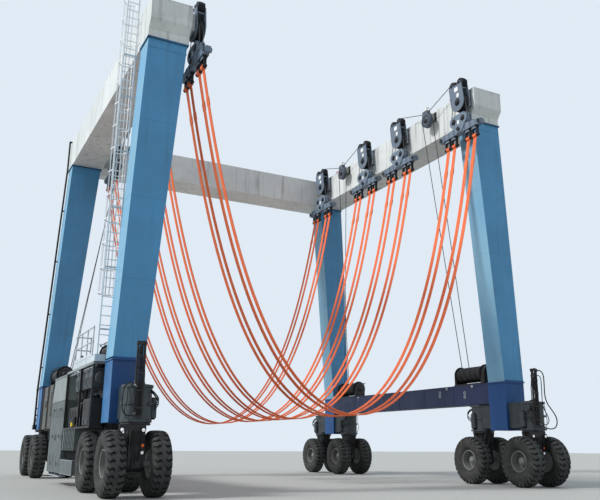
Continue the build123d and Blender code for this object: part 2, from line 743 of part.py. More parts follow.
def winch_drum(side, end):
    x = side * (SILL_INNER_X + SILL_W / 2 + WINCH_OFFSET)
    y0 = end * (COLUMN_Y - COLUMN_D / 2 - WINCH_GAP - GEAR_L)
    y1 = end * (COLUMN_Y - COLUMN_D / 2 - WINCH_GAP - WINCH_L + STAND_T)
    z = BASE_Z + WINCH_RISE
    drum = rod((x, y0, z), (x, y1, z), DRUM_R)
    for y in (y0, y1 + end * DRUM_FLANGE_T):
        drum += rod((x, y, z), (x, y - end * DRUM_FLANGE_T, z), DRUM_FLANGE_R)
    return drum


def cabinet():
    """The tall control cabinet outside the left sill, its doors parted by narrow grooves."""
    outer = -SIDE_OUTER_X
    bottom, top = CABINET_Z
    y0, y1 = CABINET_Y
    under = BASE_Z - SILL_H
    face = outline(
        (outer, bottom),
        (outer, CABINET_KINK_Z),
        (outer + CABINET_LEAN, top),
        (-SILL_OUTER_X, top),
        (-SILL_OUTER_X, under),
        (-SIDE_INNER_X, under),
        (-SIDE_INNER_X, bottom),
    )
    plane = Plane(origin=(0, y1, 0), x_dir=(1, 0, 0), z_dir=(0, -1, 0))
    body = extrude(plane * face, amount=y1 - y0)
    for i in range(1, DOOR_COUNT):
        y = y0 + (y1 - y0) * i / DOOR_COUNT
        body -= box(
            outer, outer + DOOR_GAP, y, y + DOOR_GAP, bottom + DOOR_EDGE, CABINET_KINK_Z - DOOR_EDGE
        )
    return body


def power_bay():
    """The open frame that carries the engine: a tray, posts and a roof beam."""
    outer = -SIDE_OUTER_X
    clear_x = -(TRACK_HALF + HOUSING_R + CLAMP_RISE + 5)
    y0, y1 = BAY_FRONT_Y, CABINET_Y[0]
    frame = box(outer, clear_x, y0, y1, TRAY_Z, TRAY_Z + TRAY_T)
    frame += box(outer, -SIDE_INNER_X, RADIATOR_Y[0], y1, TRAY_Z, TRAY_Z + TRAY_T)
    for y in (y0, ENGINE_Y[0], y1 - POST):
        frame += box(outer, outer + POST, y, y + POST, TRAY_Z, BASE_Z)
    frame += box(outer, outer + POST, y0, y1, BASE_Z - POST, BASE_Z)
    for y in (y0, y1 - POST):
        frame += box(outer, -SILL_OUTER_X, y, y + POST, BASE_Z - POST, BASE_Z)
    return frame


def lower_housing():
    """The ribbed housing under the engine's tray, over a recess and the boarding step."""
    outer = -SIDE_OUTER_X
    y0, y1 = UNDER_Y
    z0, z1 = LOWER_HOUSING_Z
    body = box(outer + HOUSING_RIB_T, -SIDE_INNER_X, y0, y1, z0, z1)
    for i in range(int((y1 - y0) / HOUSING_RIB_STEP)):
        y = y0 + i * HOUSING_RIB_STEP
        body += box(outer, outer + HOUSING_RIB_T, y, y + HOUSING_RIB_W, z0, z1)
    body += box(outer + STEP_RECESS, -SIDE_INNER_X, y0, y1, STEP_BOX_Z[0], z0)
    return body + box(outer, outer + STEP_BOX_W, y0, y1, *STEP_BOX_Z)


def engine():
    """A long diesel engine lying along the tray, with its heads, fan, muffler and exhaust."""
    outer, inner = -ENGINE_X[1], -ENGINE_X[0]
    floor = TRAY_Z + TRAY_T
    y0, y1 = ENGINE_Y
    block = box(outer, inner, y0 + FAN_L, y1, floor, floor + ENGINE_H)
    middle = (outer + inner) / 2
    top = floor + ENGINE_H
    muffler_z = top + HEAD_H + MUFFLER_RISE
    pitch = (y1 - y0 - FAN_L) / HEAD_COUNT
    for i in range(HEAD_COUNT):
        y = y0 + FAN_L + (i + 0.5) * pitch
        reach = pitch / 2 - HEAD_GAP
        block += box(
            middle - HEAD_W / 2, middle + HEAD_W / 2, y - reach, y + reach, top, top + HEAD_H
        )
        if MUFFLER_Y[0] < y - SADDLE_L and y + SADDLE_L < MUFFLER_Y[1]:
            block += box(-MUFFLER_X, middle, y - SADDLE_L / 2, y + SADDLE_L / 2, top, muffler_z)
    front, rear, bend = [(-MUFFLER_X, y, muffler_z) for y in (*MUFFLER_Y, STACK_Y)]
    block += rod(front, rear, MUFFLER_R) + rod(rear, bend, STACK_R)
    block += Pos(*bend) * Sphere(STACK_R)
    block += rod(bend, (-MUFFLER_X, STACK_Y, BASE_Z + STACK_RISE), STACK_R)
    fan_z = floor + FAN_R + 20
    block += rod((middle, y0 + FAN_L, fan_z), (middle, y0 + FAN_T, fan_z), FAN_R / 3)
    return block + rod((middle, y0 + FAN_T, fan_z), (middle, y0, fan_z), FAN_R)


def radiator():
    """The radiator before the fan: a core in a deep frame, behind level slats."""
    outer, inner = -ENGINE_X[1], -SIDE_INNER_X
    floor = TRAY_Z + TRAY_T
    y0, y1 = RADIATOR_Y
    frame = box(outer, inner, y0, y1, floor, floor + RADIATOR_H)
    x0, x1 = outer + RADIATOR_FRAME, inner - RADIATOR_FRAME
    z0, z1 = floor + RADIATOR_FRAME, floor + RADIATOR_H - RADIATOR_FRAME
    depth = (y1 - y0) / 3
    frame -= box(x0, x1, y0, y0 + depth, z0, z1)
    frame -= box(x0, x1, y1 - depth, y1, z0, z1)
    for i in range(1, SLAT_COUNT + 1):
        z = z0 + (z1 - z0) * i / (SLAT_COUNT + 1)
        frame += box(x0, x1, y0, y0 + depth, z - SLAT_T / 2, z + SLAT_T / 2)
    return frame


def fuel_tank():
    """The dark fuel tank on the tray's narrow end, beside the kingpin's housing."""
    outer = -SIDE_OUTER_X + FUEL_TANK_INSET
    inner = -(TRACK_HALF + HOUSING_R + CLAMP_RISE + 5)
    floor = TRAY_Z + TRAY_T
    top = floor + FUEL_TANK_H
    tank = box(outer, inner, *FUEL_TANK_Y, floor, top)
    tank = fillet(tank.edges().filter_by(Axis.Y), FUEL_TANK_EDGE)
    x, y = (outer + inner) / 2, FUEL_TANK_Y[1] - 3 * FUEL_CAP_R
    return tank + rod((x, y, top), (x, y, top + FUEL_CAP_R), FUEL_CAP_R)


def intake():
    """The light housing of air cleaners on the sill's outer face, above the engine."""
    return box(-SIDE_OUTER_X + INTAKE_INSET, -SILL_OUTER_X, *INTAKE_Y, *INTAKE_Z)


def oil_tank():
    outer = -SIDE_OUTER_X
    y0, y1 = OIL_TANK_Y
    z0, z1 = OIL_TANK_Z
    tank = box(outer + TANK_RIB, -SILL_OUTER_X, y0, y1, z0, z1)
    for share in (0, 0.5, 1):
        y = y0 + (y1 - y0 - TANK_RIB) * share
        tank += box(outer, -SILL_OUTER_X, y, y + TANK_RIB, z0, z1)
    x = (outer - SILL_OUTER_X) / 2
    return tank + rod((x, y1 - 400, z1), (x, y1 - 400, z1 + FILLER_R), FILLER_R)


def deck():
    inner = -SILL_OUTER_X - PLATFORM_GAP
    return box(-SIDE_OUTER_X, inner, *PLATFORM_Y, BASE_Z, BASE_Z + PLATFORM_T)


def handrail():
    """The rail along the walkway's outer edge and across its rear end."""
    z = BASE_Z + PLATFORM_T
    x = -SIDE_OUTER_X + 2 * RAIL_R
    inner = -SILL_OUTER_X - PLATFORM_GAP - 2 * RAIL_R
    y0, y1 = PLATFORM_Y[0] + RAIL_START, PLATFORM_Y[1] - 2 * RAIL_R
    places = [(x, y0 + (y1 - y0) * i / 3) for i in range(4)] + [(inner, y1)]
    rail = joined([rod((px, py, z), (px, py, z + RAIL_H), RAIL_R) for px, py in places])
    for height in (RAIL_H / 2, RAIL_H - RAIL_R):
        rail += rod((x, y0, z + height), (x, y1, z + height), RAIL_R)
        rail += rod((x, y1, z + height), (inner, y1, z + height), RAIL_R)
    return rail


def ladder_lean():
    """Where the ladder stands: drawn upright with its cage to +Y, then leaned in and put here."""
    foot = BASE_Z + PLATFORM_T
    lean = math.degrees(math.atan2(LADDER_X - LADDER_TOP_X, LADDER_TOP_Z - foot))
    return Pos(-LADDER_X, LADDER_Y, foot + LADDER_FOOT_GAP) * Rot(0, lean, 0)


def cage_heights():
    first = CAGE_START_Z - BASE_Z - PLATFORM_T
    height = LADDER_TOP_Z - BASE_Z - PLATFORM_T
    return [first + i * CAGE_STEP for i in range(int((height - first) / CAGE_STEP) + 1)]


def ladder():
    """The ladder's rails and rungs, and the uprights of its cage as separate bars."""
    height = LADDER_TOP_Z - BASE_Z - PLATFORM_T
    half, t = LADDER_W / 2, LADDER_TUBE / 2
    bars = [box(side * half - t, side * half + t, -t, t, 0, height) for side in (-1, 1)]
    for i in range(1, int(height / RUNG_STEP)):
        z = i * RUNG_STEP
        bars.append(box(-half, half, -RUNG / 2, RUNG / 2, z - RUNG / 2, z + RUNG / 2))
    heights = cage_heights()
    apothem = (CAGE_R - CAGE_T) * math.cos(math.pi / 2 / CAGE_SIDES)
    uprights = []
    for i in range(CAGE_SIDES):
        angle = 180 * (i + 0.5) / CAGE_SIDES - 90
        bar = box(
            -CAGE_STRIP / 2, CAGE_STRIP / 2, apothem - CAGE_T, apothem,
            heights[0], heights[-1] + CAGE_STRIP,
        )
        uprights.append(ladder_lean() * Pos(0, CAGE_DEPTH, 0) * Rot(0, 0, angle) * bar)
    return [ladder_lean() * joined(bars), *uprights]


def hoops():
    """The cage's hoops: flat bars bent from one rail round the uprights to the other rail."""
    rail = LADDER_W / 2 + LADDER_TUBE / 2
    angles = [math.pi * i / CAGE_SIDES for i in range(CAGE_SIDES + 1)]
    turned = []
    for radius, foot in ((CAGE_R, rail + CAGE_T), (CAGE_R - CAGE_T, rail)):
        bend = [(radius * math.cos(a), CAGE_DEPTH + radius * math.sin(a)) for a in angles]
        turned.append([(foot, -LADDER_TUBE / 2), (foot, LADDER_TUBE / 2), *bend])
        turned[-1] += [(-foot, LADDER_TUBE / 2), (-foot, -LADDER_TUBE / 2)]
    band = outline(*turned[0], *reversed(turned[1]))
    return [
        ladder_lean() * extrude(Pos(0, 0, z) * band, amount=CAGE_STRIP) for z in cage_heights()
    ]


def hose_mast(side, x):
    """A slim frame before a front unit that carries the hoses to its turntable."""
    face = -COLUMN_Y - UNIT_OFFSET - HOUSING_R
    y = face - CLAMP_RISE - MAST_TUBE
    half, t = MAST_W / 2, MAST_TUBE
    z0 = MAST_FOOT_Z
    bars = []
    for end in (-1, 1):
        edge = x + end * half
        bars.append(box(edge, edge - end * t, y - t / 2, y + t / 2, z0, MAST_TOP_Z))
    for share in (0, 0.3, 0.65, 1):
        z = z0 + (MAST_TOP_Z - z0 - t) * share
        bars.append(box(x - half, x + half, y - t / 2, y + t / 2, z, z + t))
    for rise in MAST_BRACKETS:
        z = z0 + rise
        bars.append(box(x - half, x + half, y, face + BRACKET_REACH, z, z + 2 * t))
    housing_x, housing_y = side * TRACK_HALF, -COLUMN_Y - UNIT_OFFSET
    return joined(bars) - rod((housing_x, housing_y, 0), (housing_x, housing_y, BASE_Z), HOUSING_R)


def conduit():
    """A pipe up the outer face of the rear left column and over the top beam, held by clips."""
    foot_face = COLUMN_BOTTOM_X + COLUMN_BOTTOM_W / 2
    top_face = COLUMN_TOP_X + COLUMN_TOP_W / 2
    stand_off = CONDUIT_R + CONDUIT_GAP
    foot_x = foot_face + stand_off
    top_x = BEAM_X + BEAM_W / 2 + stand_off
    over_z = BEAM_TOP_Z + CONDUIT_R
    route = (
        (-foot_x, CONDUIT_Y, LEG_Z + 200),
        (-foot_x, CONDUIT_Y, BASE_Z),
        (-top_x, CONDUIT_Y, FLANGE_Z),
        (-top_x, CONDUIT_Y, over_z),
        (-top_x + CONDUIT_OVER, CONDUIT_Y, over_z),
    )
    pipe = None
    for start, end in zip(route, route[1:]):
        run = rod(start, end, CONDUIT_R)
        pipe = run if pipe is None else pipe + run + Pos(*start) * Sphere(CONDUIT_R)
    for z in CLIP_Z:
        rise = max(0, (z - BASE_Z) / (FLANGE_Z - BASE_Z))
        pipe_x = foot_x + (top_x - foot_x) * rise
        face_x = foot_face + (top_face - foot_face) * rise
        pipe += box(-pipe_x, -face_x - CLIP_GAP, CONDUIT_Y - 60, CONDUIT_Y + 60, z - 30, z + 30)
    return pipe


def lamps():
    """The beacon on the engine's tray, a lamp on each guide sheave and red lamps on the beams."""
    x, foot = -SIDE_OUTER_X + BEACON_R + BEACON_GAP, TRAY_Z + TRAY_T
    lights = [rod((x, BEACON_Y, foot), (x, BEACON_Y, foot + BEACON_H), BEACON_R)]
    half = LAMP_BOX / 2
    for side in (-1, 1):
        for y in IDLER_Y:
            x = side * HOIST_X
            foot = IDLER_HEAD_Z
            lights.append(box(x - half, x + half, y - half, y + half, foot, foot + LAMP_BOX))
        for y in RED_LAMP_Y:
            x = side * (BEAM_X - BEAM_W / 2 + 2 * RED_LAMP_R)
            lights.append(rod((x, y, BEAM_TOP_Z), (x, y, BEAM_TOP_Z + RED_LAMP_H), RED_LAMP_R))
    return lights


def main():
    os.makedirs("parts", exist_ok=True)
    sides, ends = (-1, 1), (-1, 1)
    corners = [(side, end) for side in sides for end in ends]
    save("columns", *[column(*corner) for corner in corners])
    save("top_beams", *[top_beam(side) for side in sides])
    save("rear_cross_beam", cross_beam())
    save("sills", *[sill(side) for side in sides])
    save("kingpin_housings", *[housing(*corner, step) for corner in corners for step in (-1, 1)])
    save("winch_frames", *[winch_frame(*corner) for corner in corners])
    save("winch_drums", *[winch_drum(*corner) for corner in corners])
    save("upper_blocks", *[upper_block(side, y) for side in sides for y in HOIST_Y])
    save("upper_sheaves", *[s for side in sides for y in HOIST_Y for s in upper_sheaves(side, y)])
    save("idler_sheaves", *[idler(side, y) for side in sides for y in IDLER_Y])
    save("hoist_ropes", *lead_ropes())
    save("control_cabinet", cabinet())
    save("power_bay_frame", power_bay())
    save("lower_housing", lower_housing())
    save("engine", engine(), radiator())
    save("fuel_tank", fuel_tank())
    save("air_cleaners", intake())
    save("oil_tank", oil_tank())
    save("walkway", deck())
    save("walkway_rails", handrail())
    save("caged_ladder", *ladder())
    save("ladder_hoops", *hoops())
    save("hose_masts", *[hose_mast(side, x) for side, x in zip(sides, MAST_X)])
    save("conduit", conduit())
    save("lamps", *lamps())
    for name, stations in (("front", FRONT_HOISTS), ("rear", REAR_HOISTS)):
        places = [(side, y) for side in sides for y in stations]
        save(f"{name}_lower_blocks", *[lower_block(*place) for place in places])
        save(f"{name}_rope_falls", *[fall for place in places for fall in rope_falls(*place)])
        save(f"{name}_equalisers", *[equaliser(*place) for place in places])
        hooks = [shackle(side, p) for side, y in places for p in shackle_positions(y)]
        save(f"{name}_shackles", *hooks)
        save(f"{name}_slings", *[sling(p) for y in stations for p in shackle_positions(y)])
    for side, side_name in zip(sides, ("left", "right")):
        for end, end_name in zip(ends, ("front", "rear")):
            for step, step_name in ((-1, "lead"), (1, "trail")):
                x = side * TRACK_HALF
                y = end * COLUMN_Y + step * UNIT_OFFSET
                unit = f"{end_name}_{side_name}_{step_name}"
                front = end == -1 and step == -1
                save(f"{unit}_yoke", yoke(x, y, lamps=front))
                save(f"{unit}_wheels", wheels(x, y))
                save(f"{unit}_tyres", *[tyre(x + s * WHEEL_OFFSET, y) for s in (-1, 1)])


main()
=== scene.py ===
# The looks of a sixteen-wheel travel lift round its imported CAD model: camera, hoses, finishes, tyre tread,
# ropes, slings, bolts and the small machinery. Metres. X to the right, Y to the rear, Z up.
import math
import random
from itertools import product

import bmesh
import bpy
from mathutils import Matrix, Vector


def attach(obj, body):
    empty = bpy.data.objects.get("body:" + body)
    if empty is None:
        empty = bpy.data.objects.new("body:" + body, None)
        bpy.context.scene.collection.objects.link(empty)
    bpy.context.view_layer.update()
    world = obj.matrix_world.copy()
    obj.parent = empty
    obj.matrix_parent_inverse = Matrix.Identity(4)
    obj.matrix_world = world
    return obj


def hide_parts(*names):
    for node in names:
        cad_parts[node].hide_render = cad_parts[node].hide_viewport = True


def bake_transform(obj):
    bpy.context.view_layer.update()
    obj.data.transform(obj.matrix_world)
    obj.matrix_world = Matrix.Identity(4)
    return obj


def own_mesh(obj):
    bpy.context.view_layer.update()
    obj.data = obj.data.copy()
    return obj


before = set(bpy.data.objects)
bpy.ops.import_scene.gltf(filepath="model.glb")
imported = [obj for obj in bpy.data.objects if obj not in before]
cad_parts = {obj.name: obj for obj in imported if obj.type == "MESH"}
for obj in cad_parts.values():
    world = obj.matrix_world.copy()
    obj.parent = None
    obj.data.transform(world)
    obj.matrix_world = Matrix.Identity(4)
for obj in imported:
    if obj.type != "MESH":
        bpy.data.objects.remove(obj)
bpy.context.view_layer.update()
random.seed(11)

X, Y, Z = Vector((1, 0, 0)), Vector((0, 1, 0)), Vector((0, 0, 1))
BOTH = (-1, 1)
TRACK, COLUMN_Y = 8.7, 7.7           # X of the wheel units, Y of the columns
UNIT, WHEEL = 1.59, 0.735            # from a column to its wheel units, from a unit to its two tyres
TYRE_R = 1.05
SILL_IN, SILL_OUT = 8.23, 9.01
BASE_Z = 4.5
FLANGE_Z = 16.99
BEAM_IN, BEAM_OUT, BEAM_TOP = 7.22, 8.88, 18.70
HOIST_X = 6.8
HOISTS = {"front": (-7.9, -2.7), "rear": (0.8, 6.0)}    # Y of the stations of each hoist body
STATIONS = HOISTS["front"] + HOISTS["rear"]
GUIDES, GUIDE_Z = (-5.3, 3.4), 18.08    # the guide sheaves of the lead ropes
MAIN_DY, MAIN_Z = -0.06, 17.96          # the large sheave of an upper block
HEAD_DY, HEAD_Z = (-0.25, 0.32), 18.96  # its two small ones
LOWER_DY, LOWER_Z = 0.33, 17.04         # the two of a lower block
EQUALISER_Z, SHACKLE_Z = 16.58, 15.875
SLING_DY = (-0.985, -0.515, 0.515, 0.985)
SLING_LOW = 2.8


# Shapes

def circle(radius, count, start=0.0):
    """Points round a circle."""
    angles = [start + 2 * math.pi * i / count for i in range(count)]
    return [(radius * math.cos(a), radius * math.sin(a)) for a in angles]


def cover(radius, height, top_radius, top_height):
    """The profile of a round cover with a sloping edge."""
    return [(0, radius), (height, radius), (top_height, top_radius), (top_height, 0)]


def band(inner, outer, width):
    """The profile of a ring round a pipe or a drum."""
    return [(0, inner), (0, outer), (width, outer), (width, inner)]


def turn_to(axis):
    return Vector(axis).normalized().to_track_quat("Z", "Y").to_matrix()


def smooth_path(points, steps):
    """Points along a Catmull-Rom curve through the given ones."""
    pts = [Vector(p) for p in points]
    pts = [pts[0] * 2 - pts[1]] + pts + [pts[-1] * 2 - pts[-2]]
    out = []
    for a, b, c, d in zip(pts, pts[1:], pts[2:], pts[3:]):
        for t in (i / steps for i in range(steps)):
            out.append(0.5 * (2 * b + (c - a) * t + (2 * a - 5 * b + 4 * c - d) * t * t
                              + (3 * b - a - 3 * c + d) * t ** 3))
    return out + [pts[-2]]


class Shape:
    """Solids gathered in one mesh, in the row frame. A named one becomes a piece when all is drawn."""
    named = []

    def __init__(self, *name_and_finish, **more):
        self.bm = bmesh.new()
        if name_and_finish:
            self.named.append((self, name_and_finish, more))

    def ring(self, points):
        return [self.bm.verts.new(p) for p in points]

    def skin(self, rings, smooth=True):
        """Faces from each ring of vertices to the next. A ring of one vertex is a tip."""
        made = []
        n = max(map(len, rings))
        for low, high in zip(rings, rings[1:]):
            for i, j in zip(range(n), range(1, n + 1)):
                corners = (low[i % len(low)], low[j % len(low)], high[j % len(high)], high[i % len(high)])
                corners = list(dict.fromkeys(corners))
                if len(corners) > 2:
                    made.append(self.bm.faces.new(corners))
                    made[-1].smooth = smooth
        return made

    def prism(self, outline, along):
        """A flat outline drawn out along a vector."""
        low = self.ring(outline)
        high = self.ring(Vector(p) + along for p in outline)
        self.skin([low, high], False)
        for end in (low[::-1], high):
            self.bm.faces.new(end)

    def box(self, x0, x1, y0, y1, z0, z1):
        self.prism([(x0, y0, z0), (x1, y0, z0), (x1, y1, z0), (x0, y1, z0)], (z1 - z0) * Z)

    def plate(self, points, x0, x1):
        """An outline of (Y, Z) points given its thickness along X."""
        self.prism([(x0, y, z) for y, z in points], (x1 - x0) * X)

    def turned(self, centre, axis, profile, n=20, smooth=True):
        """A profile of (distance along the axis, radius) points turned round the axis."""
        turn, rings = turn_to(axis), []
        for along, radius in profile:
            spots = circle(radius, n) if radius else [(0, 0)]
            rings.append(self.ring(Vector(centre) + turn @ Vector((u, v, along)) for u, v in spots))
        self.skin(rings, smooth)

    def rod(self, start, end, radius, n=14):
        axis = Vector(end) - Vector(start)
        top = axis.length
        self.turned(start, axis, [(0, 0), (0, radius)], n, False)
        self.turned(start, axis, [(0, radius), (top, radius)], n)
        self.turned(start, axis, [(top, radius), (top, 0)], n, False)

    def tube(self, path, radius, n=8):
        """A round tube along a line of points, open at its ends where they sit in something."""
        path = [Vector(p) for p in path]
        side, rings = None, []
        for before, here, after in zip(path[:1] + path, path, path[1:] + path[-1:]):
            ahead = (after - before).normalized()
            side = side or ahead.orthogonal().normalized()
            side = (side - ahead * side.dot(ahead)).normalized()
            up = ahead.cross(side)
            rings.append(self.ring(here + (side * u + up * v) * radius for u, v in circle(1, n)))
        self.skin(rings)

    def hose(self, points, steps, radius, n=8):
        self.tube(smooth_path(points, steps), radius, n)

    def bolt(self, place, axis, size):
        """A washer with a hexagon head, standing on a face."""
        for radius, low, high, n in ((size * 1.3, 0, size * 0.25, 10), (size, size * 0.25, size, 6)):
            self.turned(place, axis, [(low, radius), (high, radius), (high, 0)], n, False)

    def bolt_ring(self, centre, axis, radius, count, size, start=0.0):
        for u, v in circle(radius, count, start):
            self.bolt(Vector(centre) + turn_to(axis) @ Vector((u, v, 0)), axis, size)

    def bolt_line(self, place, count, axis, size):
        """A row of bolts. The coordinate that runs along the row is a pair of its ends."""
        start, end = (Vector([c[k] if isinstance(c, tuple) else c for c in place]) for k in (0, 1))
        for i in range(count):
            self.bolt(start.lerp(end, i / (count - 1)), axis, size)

    def mesh(self, name):
        bmesh.ops.recalc_face_normals(self.bm, faces=self.bm.faces)
        mesh = bpy.data.meshes.new(name)
        self.bm.to_mesh(mesh)
        self.bm.free()
        return mesh


def put(obj, body):
    """Links an object into the scene and lets it ride on a body, if one is given."""
    bpy.context.scene.collection.objects.link(obj)
    if body:
        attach(obj, body)
    return obj


def piece(shape, name, finish, slot=None, body="frame", stands_for=(), bevel=0.0, place=(0, 0, 0)):
    """Makes an object of a shape, or of a mesh that others share."""
    mesh = shape.mesh(name) if isinstance(shape, Shape) else shape
    finishes = [finish] if isinstance(finish, str) else finish
    if not mesh.materials:
        for each in finishes:
            mesh.materials.append(Finish.made[each])
    obj = bpy.data.objects.new(name, mesh)
    obj.location = place
    if bevel:
        edge = obj.modifiers.new("edges", "BEVEL")
        edge.width, edge.segments = bevel, 1
        edge.limit_method, edge.angle_limit = "ANGLE", math.radians(40)
    put(obj, body)
    if stands_for:
        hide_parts(*stands_for)
    return obj


# Finishes

def linear(colour):
    return tuple(((c + 0.055) / 1.055) ** 2.4 if c > 0.04045 else c / 12.92 for c in colour) + (1.0,)


def shade(colour, factor):
    return linear(tuple(min(1.0, c * factor) for c in colour))


class Nodes:
    """A node tree in the making."""

    def __init__(self, tree):
        self.tree = tree

    def fill(self, node, inputs):
        for key, value in inputs.items():
            if isinstance(value, bpy.types.NodeSocket):
                self.tree.links.new(value, node.inputs[key])
            else:
                node.inputs[key].default_value = value

    def node(self, kind, inputs, **settings):
        """A new node with its settings and inputs. Gives its outputs."""
        node = self.tree.nodes.new("ShaderNode" + kind)
        for key, value in settings.items():
            setattr(node, key, value)
        self.fill(node, inputs)
        return node.outputs

    def math(self, kind, a, b=0.0):
        return self.node("Math", {0: a, 1: b}, operation=kind)[0]


class Finish(Nodes):
    """A procedural material in the making, with textures placed by the row frame."""
    made = {}

    def __init__(self, name):
        self.material = self.made[name] = bpy.data.materials.new(name)
        self.material.use_nodes = True
        super().__init__(self.material.node_tree)
        self.shader = self.tree.nodes["Principled BSDF"]
        places = self.node("TexCoord", {})
        self.where, self.normal = places["Object"], places["Normal"]

    def along(self, axis, of=None):
        return self.node("SeparateXYZ", {0: of or self.where})[axis]

    def noise(self, scale, detail=3.0, stretch=None, rough=0.55):
        where = self.node("Mapping", {"Vector": self.where, "Scale": stretch})[0] if stretch else self.where
        inputs = {"Vector": where, "Scale": scale, "Detail": detail, "Roughness": rough}
        return self.node("TexNoise", inputs)["Fac"]

    def wave(self, scale, direction="Z", distortion=0.0):
        inputs = {"Vector": self.where, "Scale": scale, "Distortion": distortion}
        return self.node("TexWave", inputs, bands_direction=direction)["Fac"]

    def span(self, value, low, high, top=1.0, bottom=0.0):
        inputs = {"Value": value, "From Min": low, "From Max": high, "To Min": bottom, "To Max": top}
        return self.node("MapRange", inputs, interpolation_type="SMOOTHSTEP")[0]

    def mix(self, share, a, b):
        return self.node("Mix", {0: share, 6: a, 7: b}, data_type="RGBA")[2]

    def layer(self, below, colour, value, low, high, share=1.0):
        """A colour that comes in over the one below, up to its share, as the value goes from low to high."""
        return self.mix(self.span(value, low, high, share), below, colour)

    def bump(self, height, strength=0.3, distance=0.01):
        inputs = {"Strength": strength, "Distance": distance, "Height": height}
        self.fill(self.shader, {"Normal": self.node("Bump", inputs)[0]})

    def done(self, colour, rough, metallic=0.0):
        self.fill(self.shader, {"Base Color": colour, "Roughness": rough, "Metallic": metallic})


def paint(name, colour, streaks=0.35, dust=0.25, rust=0.5, seams=None, others=(), sunlit_side=None):
    """Weathered paint: slow fading, dirt that runs down, dust, rust specks and welded seams.
    seams is (axis, pitch). Each of others is (axis, limit, colour) for what lies further out than the limit.
    The last argument is a painted sunlit highlight: the lighter colour given to the faces that look along X."""
    f = Finish(name)
    c = linear(colour)
    for axis, limit, beyond in others:
        outside = f.math("GREATER_THAN", f.math("ABSOLUTE", f.along(axis)), limit)
        c = f.mix(outside, c, linear(beyond))
    # Painted sunlight: the faces that look along X are painted in a lighter colour.
    if sunlit_side:
        c = f.layer(c, linear(sunlit_side), f.math("ABSOLUTE", f.along("X", f.normal)), 0.8, 0.95)
    patches = f.noise(1.7, 6.0, rough=0.7)
    c = f.layer(c, shade(colour, 1.16), f.noise(0.35, 4.0), 0.38, 0.68, 0.35)
    c = f.layer(c, linear((0.25, 0.25, 0.24)), f.noise(2.4, 5.0, (1.6, 1.6, 0.1)), 0.52, 0.74, streaks)
    c = f.layer(c, shade(colour, 1.35), f.noise(4.1, 4.0, (1.2, 1.2, 0.16)), 0.60, 0.78, streaks * 0.7)
    c = f.layer(c, linear((0.46, 0.44, 0.40)), patches, 0.5, 0.75, dust)
    c = f.layer(c, linear((0.31, 0.17, 0.10)), f.noise(7.0, 8.0, rough=0.75), 0.70, 0.735, rust)
    height = f.math("ADD", f.math("MULTIPLY", f.noise(45.0), 0.25), f.math("MULTIPLY", patches, 0.6))
    if seams:
        axis, pitch = seams
        turn = f.math("FRACT", f.math("DIVIDE", f.math("ADD", f.along(axis), 50.0), pitch))
        line = f.span(f.math("ABSOLUTE", f.math("SUBTRACT", turn, 0.5)), 0.0, 0.02 / pitch, 0.0, 1.0)
        height = f.math("ADD", height, f.math("MULTIPLY", line, 2.0))
        c = f.mix(f.math("MULTIPLY", line, 0.3), c, shade(colour, 0.72))
    f.bump(height, 0.35, 0.006)
    f.done(c, f.math("ADD", f.span(patches, 0.3, 0.7, 0.22), 0.42))


def steel(name, colour, rough=0.42, metallic=0.6, grime=0.6):
    """Bare, greasy or galvanised steel."""
    f = Finish(name)
    blotch = f.noise(5.0, 6.0, rough=0.65)
    c = f.layer(linear(colour), shade(colour, 0.55), blotch, 0.4, 0.7, grime)
    c = f.layer(c, linear((0.34, 0.22, 0.14)), f.noise(16.0, 6.0, rough=0.7), 0.64, 0.72, grime * 0.6)
    f.bump(f.noise(60.0), 0.3, 0.004)
    f.done(c, f.math("ADD", f.span(blotch, 0.3, 0.7, 0.25), rough), metallic)


def rubber(name, colour, dust):
    f = Finish(name)
    cloud = f.noise(3.0, 6.0, rough=0.7)
    scuffs = f.noise(24.0, 5.0, rough=0.7)
    c = f.layer(linear(colour), linear(dust), cloud, 0.35, 0.68, 0.75)
    c = f.layer(c, shade(colour, 0.6), scuffs, 0.55, 0.75, 0.5)
    f.bump(f.math("ADD", scuffs, f.math("MULTIPLY", f.noise(110.0, 2.0), 0.4)), 0.45, 0.004)
    f.done(c, f.math("ADD", f.span(cloud, 0.3, 0.7, 0.12), 0.78))


def webbing(name, colour):
    """Woven polyester: ribs along the strap, picks across them, and soiling."""
    f = Finish(name)
    ribs = f.wave(60.0, "Y")
    picks = f.noise(90.0, 2.0, (0.6, 3.0, 1.0))
    c = f.layer(shade(colour, 0.88), linear(colour), ribs, 0.1, 0.9)
    c = f.layer(c, shade(colour, 1.15), picks, 0.5, 0.75, 0.3)
    c = f.layer(c, linear((0.60, 0.26, 0.18)), f.noise(1.6, 5.0, rough=0.65), 0.5, 0.8, 0.25)
    f.bump(f.math("ADD", ribs, f.math("MULTIPLY", picks, 0.5)), 0.4, 0.003)
    f.done(c, 0.82)


def wire(name, colour, direction):
    """Laid wire rope: slanting strands, drawn darker in the valleys between them."""
    f = Finish(name)
    strands = f.wave(9.0, direction, 1.5)
    f.bump(strands, 0.9, 0.006)
    f.done(f.layer(shade(colour, 0.35), linear(colour), strands, 0.2, 0.8), 0.5, 0.5)


def glass(name, colour, glow):
    """A lamp's lens: ribbed clear or coloured plastic. Its emission is a painted glow that stands for the
    bright reflector behind it.
    """
    f = Finish(name)
    ribs = f.wave(40.0, "Z", 2.0)
    f.bump(ribs, 0.3, 0.003)
    # Painted glow: the emission stands for the light thrown back by the reflector behind the lens.
    f.fill(f.shader, {"Emission Color": linear(colour), "Emission Strength": glow, "Coat Weight": 0.6})
    f.done(f.layer(linear(colour), shade(colour, 1.2), ribs, 0.2, 0.9, 0.3), 0.18)


